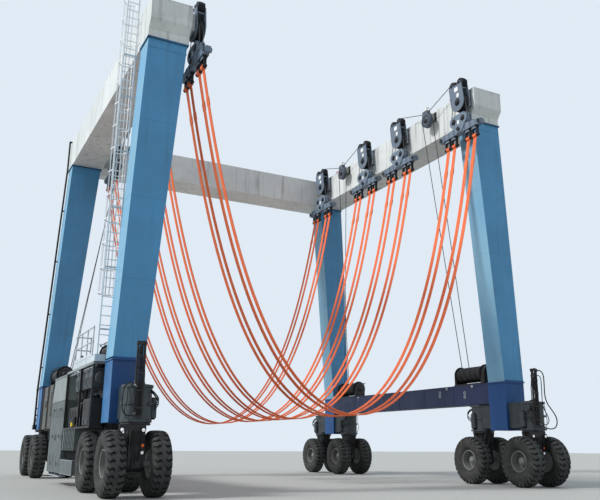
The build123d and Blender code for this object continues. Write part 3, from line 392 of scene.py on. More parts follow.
ROYAL = (0.03, 0.29, 0.52)
WHITE = (0.82, 0.83, 0.82)
# The columns and the bases carry a painted sunlit highlight on their faces that look along X.
paint("column_blue", (0.28, 0.54, 0.71), 0.22, 0.12, 0.35, seams=("Z", 3.1), sunlit_side=(0.49, 0.68, 0.78),
      others=[("Z", FLANGE_Z - 0.005, (0.12, 0.24, 0.36))])
paint("base_blue", ROYAL, 0.3, 0.08, sunlit_side=(0.16, 0.36, 0.58))
# The sills' navy is darkened in part: painted shade for the shadow that the lifted load casts over them.
paint("sill_blue", (0.07, 0.15, 0.30), 0.3, 0.15, seams=("Y", 3.85),
      others=[("Y", 7.12, ROYAL), ("X", 9.33, (0.24, 0.46, 0.66))])
paint("beam_white", WHITE, 0.4, 0.18, 0.3, seams=("Y", 4.1))
paint("trim_white", (0.90, 0.91, 0.90), 0.2, 0.1)
paint("hoist_grey", (0.38, 0.43, 0.49), 0.4, 0.2, others=[("X", 7.005, WHITE)])
paint("block_grey", (0.42, 0.48, 0.54), 0.35, 0.2)
paint("idler_grey", (0.29, 0.33, 0.38), 0.4, 0.2, others=[("X", 6.915, (0.80, 0.79, 0.74))])
paint("black_paint", (0.055, 0.06, 0.07), 0.25, 0.1, 0.2)
paint("bay_paint", (0.07, 0.075, 0.085), 0.25, 0.15, 0.2, others=[("Z", 4.41, (0.58, 0.61, 0.62))])
paint("housing_grey", (0.18, 0.22, 0.235), 0.4, 0.25, 0.4)
paint("cabinet_grey", (0.32, 0.35, 0.35), 0.3, 0.2, 0.2, others=[("Z", 3.40, (0.52, 0.55, 0.54))])
paint("under_grey", (0.34, 0.37, 0.37), 0.35, 0.25, 0.25)
paint("light_grey", (0.58, 0.62, 0.64), 0.35, 0.3)
paint("cleaner_grey", (0.20, 0.23, 0.245), 0.35, 0.25)
paint("ladder_white", (0.88, 0.90, 0.91), 0.12, 0.1, 0.15)
paint("deck_white", (0.74, 0.78, 0.80), 0.3, 0.25)
paint("tank_brown", (0.29, 0.29, 0.275), 0.5, 0.35)
paint("machine_dark", (0.06, 0.065, 0.075), 0.2, 0.06, 0.2)
paint("rim_paint", (0.44, 0.45, 0.44), 0.2, 0.45, 0.4)
steel("dark_steel", (0.15, 0.15, 0.16))
steel("bright_steel", (0.55, 0.56, 0.57), 0.35, 0.8, 0.35)
steel("galvanised", (0.74, 0.77, 0.79), 0.5, 0.35, 0.25)
rubber("tread_rubber", (0.13, 0.14, 0.14), (0.31, 0.32, 0.31))
# Near-black rubber for the tread's grooves: painted shade, with less dust than on the lugs.
rubber("groove_shade_rubber", (0.03, 0.03, 0.03), (0.07, 0.07, 0.065))
rubber("side_rubber", (0.12, 0.12, 0.12), (0.27, 0.28, 0.26))
rubber("hose_rubber", (0.05, 0.05, 0.055), (0.11, 0.11, 0.11))
webbing("sling_orange", (1.0, 0.48, 0.28))
wire("rope_up", (0.40, 0.40, 0.41), "Z")
wire("rope_along", (0.26, 0.26, 0.27), "Y")
wire("rope_slanting", (0.30, 0.31, 0.32), "DIAGONAL")
glass("lens_white", (0.93, 0.94, 0.95), 0.25)
glass("lens_red", (0.72, 0.10, 0.07), 0.1)
glass("lens_orange", (0.95, 0.40, 0.10), 0.1)
glass("lens_yellow", (0.90, 0.78, 0.10), 0.1)


# Camera and free hoses

def add_camera():
    """The photo's camera, as solved from the tyres and the columns."""
    yaw, pitch, roll = 0.476, 0.262, 0.007
    ahead = Vector((math.sin(yaw) * math.cos(pitch), math.cos(yaw) * math.cos(pitch), math.sin(pitch)))
    level = Vector((math.cos(yaw), -math.sin(yaw), 0))
    upright = level.cross(ahead)
    right = level * math.cos(roll) + upright * math.sin(roll)
    up = upright * math.cos(roll) - level * math.sin(roll)
    data = bpy.data.cameras.new("camera")
    data.sensor_width, data.lens, data.clip_end = 36, 43.71, 500
    camera = bpy.data.objects.new("camera", data)
    turn = Matrix((right, up, -ahead)).transposed().to_4x4()
    camera.matrix_world = Matrix.Translation((-15.151, -33.44, 1.652)) @ turn
    bpy.context.scene.collection.objects.link(camera)
    bpy.context.scene.camera = camera


def free_hose(name, y, points, radius):
    """A hydraulic hose that hangs in a loop, drawn by (X, Z) points, between two fittings on its mast."""
    curve = bpy.data.curves.new(name, "CURVE")
    curve.dimensions, curve.bevel_depth, curve.bevel_resolution = "3D", radius, 3
    line = curve.splines.new("NURBS")
    line.points.add(len(points) - 1)
    for point, (x, z) in zip(line.points, points):
        point.co = (x, y, z, 1)
    line.order_u = 3
    line.use_endpoint_u = True
    curve.materials.append(Finish.made["hose_rubber"])
    obj = put(bpy.data.objects.new(name, curve), "frame")
    ferrules = Shape(f"{name}_ferrules", "bright_steel")
    for end, after in ((points[0], points[1]), (points[-1], points[-2])):
        axis = (after[0] - end[0], 0, after[1] - end[1])
        body = [(-0.03, 0), (-0.03, 1.8 * radius), (0.01, 1.8 * radius), (0.02, 1.35 * radius)]
        ferrules.turned((end[0], y, end[1]), axis, body + [(0.10, 1.35 * radius), (0.10, radius)], 16)


add_camera()
free_hose("right_mast_hose_long", -9.88, [
    (8.50, 4.78), (8.60, 4.86), (8.78, 4.86), (8.91, 4.74), (8.95, 4.56), (8.94, 4.20),
    (8.92, 3.78), (9.04, 3.45), (9.30, 3.18), (9.50, 2.93), (9.55, 2.68), (9.44, 2.47),
    (9.21, 2.39), (8.95, 2.42), (8.72, 2.50), (8.54, 2.60),
], 0.024)
free_hose("right_mast_hose_short", -9.83, [
    (8.48, 4.56), (8.58, 4.65), (8.72, 4.65), (8.81, 4.56), (8.83, 4.42), (8.82, 4.00),
    (8.80, 3.50), (8.88, 3.20), (9.05, 2.98), (9.13, 2.78), (9.06, 2.62), (8.90, 2.56),
    (8.70, 2.62), (8.53, 2.74),
], 0.018)
free_hose("left_mast_hose", -9.88, [
    (-8.90, 3.46), (-9.00, 3.56), (-9.16, 3.56), (-9.28, 3.45), (-9.31, 3.27), (-9.32, 3.05),
    (-9.33, 2.85), (-9.29, 2.64), (-9.16, 2.53), (-8.99, 2.53), (-8.87, 2.63),
], 0.020)


# Finishes of the CAD nodes

NODE_FINISHES = {   # finish: the ends of the nodes' names
    "column_blue": ["columns"], "sill_blue": ["sills"], "beam_white": ["top_beams", "rear_cross_beam"],
    "housing_grey": ["kingpin_housings"], "hoist_grey": ["upper_blocks"], "idler_grey": ["idler_sheaves"],
    "block_grey": ["_equalisers", "_lower_blocks"], "rope_slanting": ["hoist_ropes"],
    "rim_paint": ["_wheels"], "black_paint": ["_yoke", "hose_masts", "fuel_tank"],
    "machine_dark": ["winch_frames", "engine"],
    "cabinet_grey": ["control_cabinet"], "bay_paint": ["power_bay_frame"], "under_grey": ["lower_housing"],
    "cleaner_grey": ["air_cleaners"], "tank_brown": ["oil_tank"], "deck_white": ["walkway"],
    "galvanised": ["walkway_rails"], "ladder_white": ["caged_ladder", "ladder_hoops"],
    "lamp_bodies": ["lamps"],
}


def lamp_finish():
    """One finish for the node of lamps: yellow low down, red on the beams and white on the guide sheaves."""
    f = Finish("lamp_bodies")
    outside = f.math("GREATER_THAN", f.math("ABSOLUTE", f.along("X")), 7.1)
    low = f.math("LESS_THAN", f.along("Z"), 5.0)
    c = f.mix(outside, linear((0.88, 0.88, 0.86)), linear((0.66, 0.10, 0.08)))
    c = f.mix(low, c, linear((0.92, 0.76, 0.10)))
    dirt = f.noise(9.0, 5.0)
    f.bump(dirt, 0.2, 0.003)
    f.done(f.layer(c, linear((0.3, 0.29, 0.26)), dirt, 0.5, 0.8, 0.5), 0.35)


def finish_nodes():
    """Gives each node its finish, and dark steel to those that aren't listed."""
    for name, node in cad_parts.items():
        chosen = [finish for finish, ends in NODE_FINISHES.items() if name.endswith(tuple(ends))]
        material = Finish.made[chosen[0] if chosen else "dark_steel"]
        if not node.data.materials:
            node.data.materials.append(material)
        for place in node.material_slots:
            place.material = material


lamp_finish()
finish_nodes()


# Tyres and wheels

LUGS = 28
STOPS = ((0.0, 0), (0.62, 0), (0.70, 1), (0.92, 1))    # share of the pitch, share of the groove's depth
TREAD = (   # distance from the middle, radius, depth of the groove, share of the way to the shoulder
    (0.045, 1.0500, 0.000, 0.0), (0.068, 1.0495, 0.034, 0.05), (0.120, 1.0470, 0.046, 0.25),
    (0.170, 1.0430, 0.046, 0.48), (0.222, 1.0340, 0.046, 0.72), (0.262, 1.0080, 0.042, 0.88),
    (0.286, 0.9620, 0.034, 0.96), (0.299, 0.9050, 0.018, 1.0), (0.305, 0.8650, 0.000, 1.0),
    (0.310, 0.7600, 0.000, 1.0), (0.303, 0.6600, 0.000, 1.0), (0.286, 0.5750, 0.000, 1.0),
    (0.268, 0.5450, 0.000, 1.0), (0.258, 0.5400, 0.000, 1.0), (0.228, 0.4800, 0.000, 1.0),
    (0.190, 0.4400, 0.000, 1.0),
)
TREAD_ROWS = 8


def tyre_rows():
    """The tyre's section from one bead to the other, as rows of (x, radius, depth, normal, turn)."""
    rows = []
    for behind, (x, r, depth, out), ahead in zip(TREAD[:1] + TREAD, TREAD, TREAD[1:] + TREAD[-1:]):
        dx, dr = ahead[0] - behind[0], ahead[1] - behind[1]
        size = math.hypot(dx, dr)
        rows.append((x, r, depth, (-dr / size, dx / size), 0.22 * math.sin(2 * math.pi * out) + 0.42 * out))
    left = [(-x, r, d, (-nx, nr), -swing) for x, r, d, (nx, nr), swing in reversed(rows)]
    return left + [(x, r, d, n, swing + 0.5) for x, r, d, n, swing in rows]


def tyre_mesh():
    """Both tyres of a unit. Their materials are the tread's and the side walls' rubber, and a near-black
    rubber in the grooves: painted shade, with less dust than on the lugs.
    """
    shape, rows = Shape(), tyre_rows()
    for middle in (-WHEEL, WHEEL):
        rings = []
        for x, r, depth, (nx, nr), swing in rows:
            ring = []
            for k, (share, deep) in product(range(LUGS), STOPS):
                a = 2 * math.pi * (k + share + swing) / LUGS
                radius = r - nr * depth * deep
                ring.append((middle + x - nx * depth * deep, radius * math.cos(a), radius * math.sin(a)))
            rings.append(shape.ring(ring))
        for i, pair in enumerate(zip(rings, rings[1:])):
            wall = min(i, len(rings) - 2 - i) < len(TREAD) - TREAD_ROWS
            cut = min(rows[i][2], rows[i + 1][2]) > 0.01
            for k, face in enumerate(shape.skin(pair, wall)):
                # Faces down in the grooves take the near-black rubber: painted shade.
                face.material_index = 2 if cut and k % len(STOPS) else int(wall)
    return shape.mesh("twin_tyres")


def wheel_trim_mesh():
    """Wheel nuts, hub caps, lock rings and valves of a pair of wheels, about the unit's centre."""
    shape = Shape()
    for side in BOTH:
        out = side * X
        disc, hub = side * (WHEEL - 0.125), side * (WHEEL + 0.065)
        shape.bolt_ring((disc, 0, 0), out, 0.315, 16, 0.020)
        shape.turned((disc, 0, 0), out, [(0, 0.375), (0.02, 0.372), (0.02, 0.355), (0, 0.35)], 40)
        cap = [(0, 0.135), (0.02, 0.135), (0.03, 0.105), (0.05, 0.09), (0.06, 0.05), (0.062, 0)]
        shape.turned((hub, 0, 0), out, cap, 24)
        shape.bolt_ring((hub, 0, 0), out, 0.15, 8, 0.011, 0.2)
        lock = [(0, 0.409), (0.018, 0.405), (0.030, 0.418), (0.030, 0.436), (0.012, 0.446), (0, 0.446)]
        shape.turned((side * (WHEEL + 0.205), 0, 0), out, lock, 48)
        shape.rod((disc, 0.385, 0), (disc + side * 0.10, 0.375, 0), 0.009, 8)
        for y, z in circle(0.235, 5, math.pi / 5):
            shape.rod((disc, y, z), (disc + side * 0.04, y, z), 0.022, 10)
    return shape.mesh("wheel_trim")


def yoke_trim_mesh():
    """Ribs, bearing covers and bolts of a steered leg, about the kingpin on the ground."""
    shape = Shape()
    for side in BOTH:
        out = side * X
        bearing = [(0, 0.235), (0.03, 0.23), (0.035, 0.2), (0.035, 0.12)]
        shape.turned((side * 0.25, 0, TYRE_R), out, bearing, 28)
        shape.bolt_ring((side * 0.28, 0, TYRE_R), out, 0.212, 10, 0.013)
        for y in (-0.2, 0.2):
            shape.box(side * 0.25, side * 0.275, y - 0.012, y + 0.012, 1.36, 2.24)
        for z in (1.5, 1.95):
            shape.box(side * 0.25, side * 0.27, -0.24, 0.24, z, z + 0.02)
    for end in BOTH:
        rib = [(end * y, z) for y, z in ((0.28, 1.36), (0.31, 1.36), (0.31, 1.60), (0.44, 2.18), (0.44, 2.25),
                                         (0.28, 1.66))]
        for x in (-0.16, 0.0, 0.16):
            shape.plate(rib, x - 0.012, x + 0.012)
        shape.box(-0.13, 0.13, end * 0.28, end * 0.36, 0.92, 1.22)
        for z in (0.96, 1.18):
            shape.bolt_line(((-0.09, 0.09), end * 0.36, z), 3, end * Y, 0.014)
        shape.rod((0, end * 0.36, 1.07), (0, end * 0.42, 1.07), 0.07)
    shape.turned((0, 0, 2.255), Z, [(0, 0.465), (0, 0.488), (0.03, 0.492), (0.045, 0.488)], 48)
    for x, y in circle(0.43, 20, math.pi / 20):
        if abs(x) > 0.28:
            shape.bolt((x, y, 2.26), -Z, 0.017)
    return shape.mesh("yoke_trim")


def yoke_hose_mesh():
    """Hoses that loop down the ends of a steered leg."""
    shape = Shape()
    for end, x in product(BOTH, (-0.08, 0.08)):
        shape.hose([(x, end * 0.43, 2.22), (x * 1.3, end * 0.50, 2.05), (x * 1.5, end * 0.43, 1.75),
                    (x * 1.2, end * 0.39, 1.45), (x * 0.6, end * 0.42, 1.2),
                    (x * 0.5, end * 0.40, 1.10)], 5, 0.018)
    return shape.mesh("yoke_hoses")


def units():
    """The name, X and Y of each steered unit."""
    names = product(("front", "rear"), ("left", "right"), ("lead", "trail"))
    for (end, side, step), parts in zip(product(BOTH, BOTH, BOTH), names):
        yield "_".join(parts), side * TRACK, end * COLUMN_Y + step * UNIT


def dress_units():
    """The trim of a unit is drawn once and shared by all eight."""
    tyres, trim, yoke, hoses = tyre_mesh(), wheel_trim_mesh(), yoke_trim_mesh(), yoke_hose_mesh()
    rubbers = ["tread_rubber", "side_rubber", "groove_shade_rubber"]
    for unit, x, y in units():
        wheels, steer = {"body": f"{unit}_wheel_pair", "place": (x, y, TYRE_R)}, {"body": f"{unit}_steer"}
        piece(tyres, f"{unit}_treaded_tyres", rubbers, stands_for=[f"{unit}_tyres"], **wheels)
        piece(trim, f"{unit}_wheel_trim", "rim_paint", **wheels)
        piece(yoke, f"{unit}_yoke_trim", "black_paint", place=(x, y, 0), **steer)
        piece(hoses, f"{unit}_yoke_hoses", "hose_rubber", place=(x, y, 0), **steer)
        if y < -COLUMN_Y:
            lenses = Shape(f"{unit}_lamp_lenses", "lens_white", **steer)
            for name, z in (("orange", 1.61), ("white", 1.39)):
                marker = Shape(f"{unit}_{name}_marker", f"lens_{name}", **steer)
                marker.turned((x + 0.19, y - 0.34, z), -Y, [(0, 0.053), (0.02, 0.045), (0.03, 0)], 18)
            brackets = Shape(f"{unit}_lamp_brackets", "black_paint", **steer)
            z = 2.0925
            for lamp_x in (x - 0.555, x + 0.135):
                lenses.turned((lamp_x, y - 0.56, z), -Y, [(0, 0.058), (0.008, 0.05), (0.012, 0)], 20)
                rim = [(-0.03, 0.066), (-0.03, 0.074), (0.012, 0.074), (0.012, 0.058)]
                brackets.turned((lamp_x, y - 0.555, z), -Y, rim, 20)
                for left in (-0.09, 0.075):
                    brackets.box(lamp_x + left, lamp_x + left + 0.015, y - 0.54, y - 0.46, z - 0.02, z + 0.10)
            brackets.box(x + 0.13, x + 0.25, y - 0.30, y - 0.28, 1.32, 1.70)


dress_units()


# Kingpin housings, masts, sills, columns and beams

def dress_housings():
    """Ears and bolts of the bearing clamps, and caps and hoses of the steering motors."""
    ears = Shape("clamp_ears", "housing_grey")
    bolts = Shape("clamp_bolts", "bright_steel")
    collars = Shape("steering_motor_caps", "black_paint")
    hoses = Shape("steering_hoses", "hose_rubber")
    for _, x, y in units():
        side = 1 if x > 0 else -1
        away = 1 if y > math.copysign(COLUMN_Y, y) else -1
        for z, turn in product((2.34, 2.89, 3.45), (-0.62, 0.62)):
            a = math.pi / 2 * away + turn
            middle = Vector((x + 0.545 * math.cos(a), y + 0.545 * math.sin(a), z))
            t = Vector((-math.sin(a), math.cos(a), 0))
            for part in (-0.028, 0.028):
                foot = middle + t * part
                ears.rod(foot + 0.005 * Z, foot + 0.085 * Z, 0.026, 8)
            for end in BOTH:
                bolts.bolt(middle + 0.045 * Z + t * end * 0.055, t * end, 0.016)
        bolts.bolt_ring((x, y, 3.47), Z, 0.515, 24, 0.010)
        inner = x - side * 0.55
        collars.turned((inner, y, 3.09), Z, [(0, 0.105), (0.05, 0.10), (0.07, 0.07), (0.07, 0)], 20)
        collars.turned((inner, y, 2.49), -Z, [(0, 0.11), (0.05, 0.08), (0.05, 0)], 20)
        bolts.bolt_ring((inner, y, 3.09), Z, 0.112, 8, 0.009)
        if abs(y) > COLUMN_Y:
            bolts.bolt_ring((x, y, 3.54), Z, 0.40, 16, 0.020)
            lid = [(0, 0.30), (0.03, 0.30), (0.045, 0.27), (0.045, 0.08), (0.09, 0.07), (0.09, 0)]
            collars.turned((x, y, 3.54), Z, lid, 32)
        for drop in (0.0, 0.07, 0.14):
            hoses.hose([(inner, y + away * 0.10, 2.72 + drop),
                        (inner - side * 0.10, y + away * 0.30, 2.95 + drop),
                        (x - side * 0.42, y + away * 0.40, 3.25 + drop * 0.6),
                        (x - side * 0.37, y - away * 0.2, 3.42 + drop * 0.4)], 6, 0.016)
        grip = x + side * 0.40
        hoses.hose([(grip, y + away * 0.33, 2.46), (grip + side * 0.08, y + away * 0.36, 2.7),
                    (grip + side * 0.02, y + away * 0.40, 3.0), (grip, y + away * 0.34, 3.44)], 6, 0.014)


def dress_masts():
    """Bundled hoses over the tops of the masts, with their clamps and collars."""
    hoses = Shape("mast_hoses", "hose_rubber")
    clamps = Shape("mast_clamps", "black_paint", bevel=0.004)
    for side, x in ((-1, -8.8), (1, 8.4)):
        for k in range(4):
            px, top = x - 0.075 + 0.05 * k, 4.55 + 0.09 * k
            down = side * TRACK - 0.15 + 0.10 * k
            hoses.hose([(px, -9.93, 2.55), (px, -9.93, 3.2), (px + 0.012, -9.935, 3.9), (px, -9.93, top),
                        (px, -9.88, top + 0.10), (px, -9.77, top + 0.11),
                        ((px + down) / 2, -9.66, top - 0.06),
                        (0.3 * px + 0.7 * down, -9.56, top - 0.45), (down, -9.50, 3.92), (down, -9.49, 3.58)],
                       5, 0.020)
            collar = [(0, 0.038), (0.03, 0.038), (0.04, 0.029), (0.11, 0.029), (0.11, 0.02)]
            clamps.turned((down, -9.49, 3.575), Z, collar, 14)
        for z in (2.75, 3.3, 3.85, 4.4):
            clamps.box(x - 0.115, x + 0.115, -9.96, -9.90, z, z + 0.05)
            clamps.bolt_line(((x - 0.10, x + 0.10), -9.96, z + 0.025), 2, -Y, 0.011)
        clamps.box(x - 0.16, x + 0.16, -9.93, -9.80, 4.80, 4.92)


def dress_columns():
    """Bolts and ribs under the top flanges, and edges and bolts at the feet."""
    bolts = Shape("column_flange_bolts", "dark_steel")
    ribs = Shape("column_flange_ribs", "column_blue")
    base = Shape("column_foot_welds", "base_blue")
    half_w, half_d, foot_half = 0.785, 0.545, 0.555
    for side, end, k in product(BOTH, BOTH, BOTH):
        x, y, foot = side * 8.075, end * COLUMN_Y, side * 8.785
        face, outer = y + k * half_d, foot + side * foot_half
        base.box(outer, outer + side * 0.012, y - half_d, y + half_d, BASE_Z, BASE_Z + 0.06)
        bolts.bolt_line(((x - half_w, x + half_w), face + k * 0.03, FLANGE_Z), 13, -Z, 0.018)
        bolts.bolt_line((x + k * (half_w + 0.03), (y - half_d, y + half_d), FLANGE_Z), 9, -Z, 0.018)
        for i in range(5):
            rx = x - half_w + 0.16 + i * (2 * half_w - 0.2) / 4
            ribs.plate([(face, FLANGE_Z), (face + k * 0.05, FLANGE_Z), (face, 16.76)], rx - 0.008, rx + 0.008)
        ribs.box(x - half_w, x + half_w, face, face + k * 0.012, 16.60, 16.64)
        for z, out in ((BASE_Z, 0.012), (2.40, 0.015)):
            base.box(foot - foot_half - 0.01, foot + foot_half + 0.01, face, face + k * out, z, z + 0.06)
        row = (foot - foot_half + 0.06, foot + foot_half - 0.06)
        base.bolt_line((row, face + k * 0.012, 4.40), 8, k * Y, 0.014)


def dress_beams():
    """Bolted joint plates, lifting lugs and framed ends of the top beams."""
    plates = Shape("beam_plates", "beam_white", bevel=0.003)
    bolts = Shape("beam_bolts", "galvanised")
    dark = Shape("beam_joint_irons", "dark_steel")
    low, high, rows = 17.12, 18.62, (17.2, 18.54)
    for side in BOTH:
        middle = side * 8.05
        for x, y, half, out, step in ((side * BEAM_OUT, 6.12, 0.22, side, 0.13),
                                      (side * BEAM_IN, -6.3, 0.2, -side, 0.12)):
            plates.box(x, x + out * 0.014, y - half, y + half, low, high)
            for dy in (-step, step):
                bolts.bolt_line((x + out * 0.014, y + dy, rows), 12, out * X, 0.022)
        for y, x in product((-4.2, 5.0), (middle - 0.45, middle + 0.45)):
            lug = [(y - 0.16, BEAM_TOP), (y + 0.16, BEAM_TOP), (y + 0.09, BEAM_TOP + 0.20),
                   (y - 0.09, BEAM_TOP + 0.20)]
            plates.plate(lug, x - 0.02, x + 0.02)
            dark.rod((x - 0.024, y, BEAM_TOP + 0.12), (x + 0.024, y, BEAM_TOP + 0.12), 0.045, 16)
        for z in (17.74, 18.66):
            plates.box(middle - 0.83, middle + 0.83, -8.512, -8.5, z, z + 0.03)
        for x in (middle - 0.82, middle + 0.82):
            plates.box(x - 0.015, x + 0.015, -8.512, -8.5, 17.74, 18.69)
        for y, k in ((6.9, -1), (8.8, 1)):
            x = side * 7.05
            plates.box(x - 0.2, x + 0.17, y, y + k * 0.014, low, high)
            for dx in (-0.12, 0.09):
                bolts.bolt_line((x + dx, y + k * 0.014, rows), 12, k * Y, 0.022)


def dress_sills():
    """Round marks and pads, edge strips, ribs and pipes of the sills."""
    marks = Shape("sill_marks", "light_grey")
    pipes = Shape("sill_pipes", "bright_steel", "galvanised")
    plates = Shape("sill_plates", "sill_blue")
    for side in BOTH:
        x = side * SILL_IN
        for y, z in ((-3.57, 4.15), (-5.47, 4.04)):
            for dz in (-0.09, 0.09):
                marks.turned((x, y, z + dz), -side * X,
                             [(0, 0.085), (0.02, 0.08), (0.02, 0.05), (0.005, 0.045)], 20)
        for y in (-4.15, -6.04, 4.15):
            marks.turned((x, y, 4.40), -side * X, [(0, 0.075), (0.05, 0.07), (0.06, 0.0)], 16)
        for low, high in ((4.44, 4.50), (3.56, 3.60)):
            plates.box(x, x - side * 0.012, -6.9, 6.9, low, high)
        for y in (-4.6, -2.3, 0.0, 2.3, 4.6):
            plates.box(x, x - side * 0.010, y - 0.02, y + 0.02, 3.60, 4.44)
    for z in (3.78, 3.88, 3.98):
        pipes.tube([(SILL_OUT + 0.055, y, z) for y in (-6.95, 0, 6.95)], 0.026, 10)
    for y in (-6.6, -5.0, -3.4, -1.7, 0.0, 1.7, 3.4, 5.0, 6.6):
        plates.box(SILL_OUT, SILL_OUT + 0.09, y - 0.03, y + 0.03, 3.73, 4.03)


dress_housings()
dress_masts()
dress_columns()
dress_beams()
dress_sills()


# Ropes, blocks and slings

def tangent_run(upper, upper_r, lower, lower_r, turn):
    """The ends of a rope that leaves one sheave for another, in (Y, Z)."""
    dy, dz = lower[0] - upper[0], lower[1] - upper[1]
    angle = math.atan2(dz, dy) + turn * math.acos((upper_r - lower_r) / math.hypot(dy, dz))
    ends = ((upper, upper_r), (lower, lower_r))
    return [(y + r * math.cos(angle), z + r * math.sin(angle)) for (y, z), r in ends]


def rope_falls(name, stations):
    """The ropes between upper and lower blocks, which stretch as the hoist lowers."""
    shape = Shape()
    for side, y, turn in product(BOTH, stations, BOTH):
        ends = tangent_run((y + MAIN_DY, MAIN_Z), 0.448, (y + turn * LOWER_DY, LOWER_Z), 0.288, turn)
        for dx in (-0.08, 0.08):
            shape.tube([(side * HOIST_X + dx, *end) for end in ends], 0.018, 10)
    obj = piece(shape, f"{name}_falls", "rope_up", body=None, stands_for=[f"{name}_rope_falls"])
    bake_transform(obj)


def rounded_plate(shape, x, y, z, half_y, half_z, face):
    """A thin plate with cut corners on a face across X."""
    cut = 0.02
    corners = [(-1, -1, 1, 0), (1, -1, -1, 0), (1, -1, 0, 1), (1, 1, 0, -1),
               (1, 1, -1, 0), (-1, 1, 1, 0), (-1, 1, 0, -1), (-1, -1, 0, 1)]
    points = [(y + i * half_y + j * cut, z + k * half_z + m * cut) for i, k, j, m in corners]
    shape.plate(points, x, x + face * 0.008)


def sheave_pin(dark, bolts, place, face, profile, count, radius, size, start=0.0, n=20):
    """A pin's round cover with bolts on it."""
    dark.turned(place, face * X, profile, n)
    bolts.bolt_ring(Vector(place) + face * profile[-1][0] * X, face * X, radius, count, size, start)


def dress_upper_blocks():
    """Patches, pins, bolts and irons of the upper blocks, and the rims of their small sheaves."""
    white = Shape("upper_block_patches", "trim_white")
    dark = Shape("upper_block_pins", "dark_steel")
    bolts = Shape("upper_block_bolts", "bright_steel")
    irons = Shape("upper_block_irons", "block_grey", bevel=0.003)
    rim = [(-0.026, 0.246), (-0.020, 0.246), (-0.012, 0.231), (0.012, 0.231), (0.020, 0.246), (0.026, 0.246)]
    for side, station in product(BOTH, STATIONS):
        middle, inner, y = side * HOIST_X, side * BEAM_IN, station + MAIN_DY
        for face in BOTH:
            x = middle + face * 0.2
            rounded_plate(white, x, station - 0.02, 18.66, 0.13, 0.11, face)
            rounded_plate(white, x, station - 0.12, 18.31, 0.08, 0.10, face)
            sheave_pin(dark, bolts, (x + face * 0.05, y, MAIN_Z), face,
                       cover(0.105, 0.015, 0.09, 0.022), 4, 0.07, 0.011, 0.4)
            for dy in HEAD_DY:
                sheave_pin(dark, bolts, (x + face * 0.025, station + dy, HEAD_Z), face,
                           cover(0.07, 0.012, 0.055, 0.018), 3, 0.045, 0.008, n=16)
            for i in range(9):
                a = math.pi * (1.06 + 0.88 * i / 8)
                bolts.bolt((x, y + 0.435 * math.cos(a), MAIN_Z + 0.435 * math.sin(a)), face * X, 0.012)
            dark.turned((x, y, MAIN_Z), face * X, [(0, 0.19), (0.012, 0.188), (0.012, 0.10)], 28)
            for k, start in ((-1, station - 0.40), (1, station + 0.50)):
                end = y + k * 0.47
                strap = [(start, 18.86), (start + k * 0.02, 18.86),
                         (end + k * 0.004, 17.98), (end - k * 0.02, 17.98)]
                irons.plate(strap, x, x + face * 0.012)
        irons.box(inner, inner - side * 0.03, station - 0.39, station + 0.39, 17.72, 18.62)
        for dy in (-0.36, 0.36):
            bolts.bolt_line((inner - side * 0.03, station + dy, (17.78, 18.56)), 6, -side * X, 0.016)
        for dy, lane in product(HEAD_DY, (-0.04, 0.04)):
            dark.turned((middle + lane, station + dy, HEAD_Z), X, rim, 36)


def dress_guide_sheaves():
    """Pins, bolts and brackets of the guide sheaves."""
    irons = Shape("guide_sheave_irons", "dark_steel")
    bolts = Shape("guide_sheave_bolts", "bright_steel")
    for side, y in product(BOTH, GUIDES):
        x, inner = side * (HOIST_X - 0.11), side * BEAM_IN
        sheave_pin(irons, bolts, (x - side * 0.04, y, GUIDE_Z), -side,
                   cover(0.13, 0.02, 0.11, 0.03), 6, 0.085, 0.011, n=24)
        irons.turned((x, y, GUIDE_Z), -side * X, [(0, 0.30), (0.012, 0.298), (0.012, 0.26), (0, 0.258)], 36)
        for face, (dy, dz) in product(BOTH, circle(0.325, 10, 0.2)):
            bolts.bolt((side * HOIST_X + face * 0.11, y + dy, GUIDE_Z + dz), face * X, 0.010)
        irons.box(inner, inner - side * 0.025, y - 0.26, y + 0.26, 18.10, 18.60)
        for dy in (-0.2, 0.2):
            bolts.bolt_line((inner - side * 0.025, y + dy, (18.15, 18.55)), 4, -side * X, 0.015)


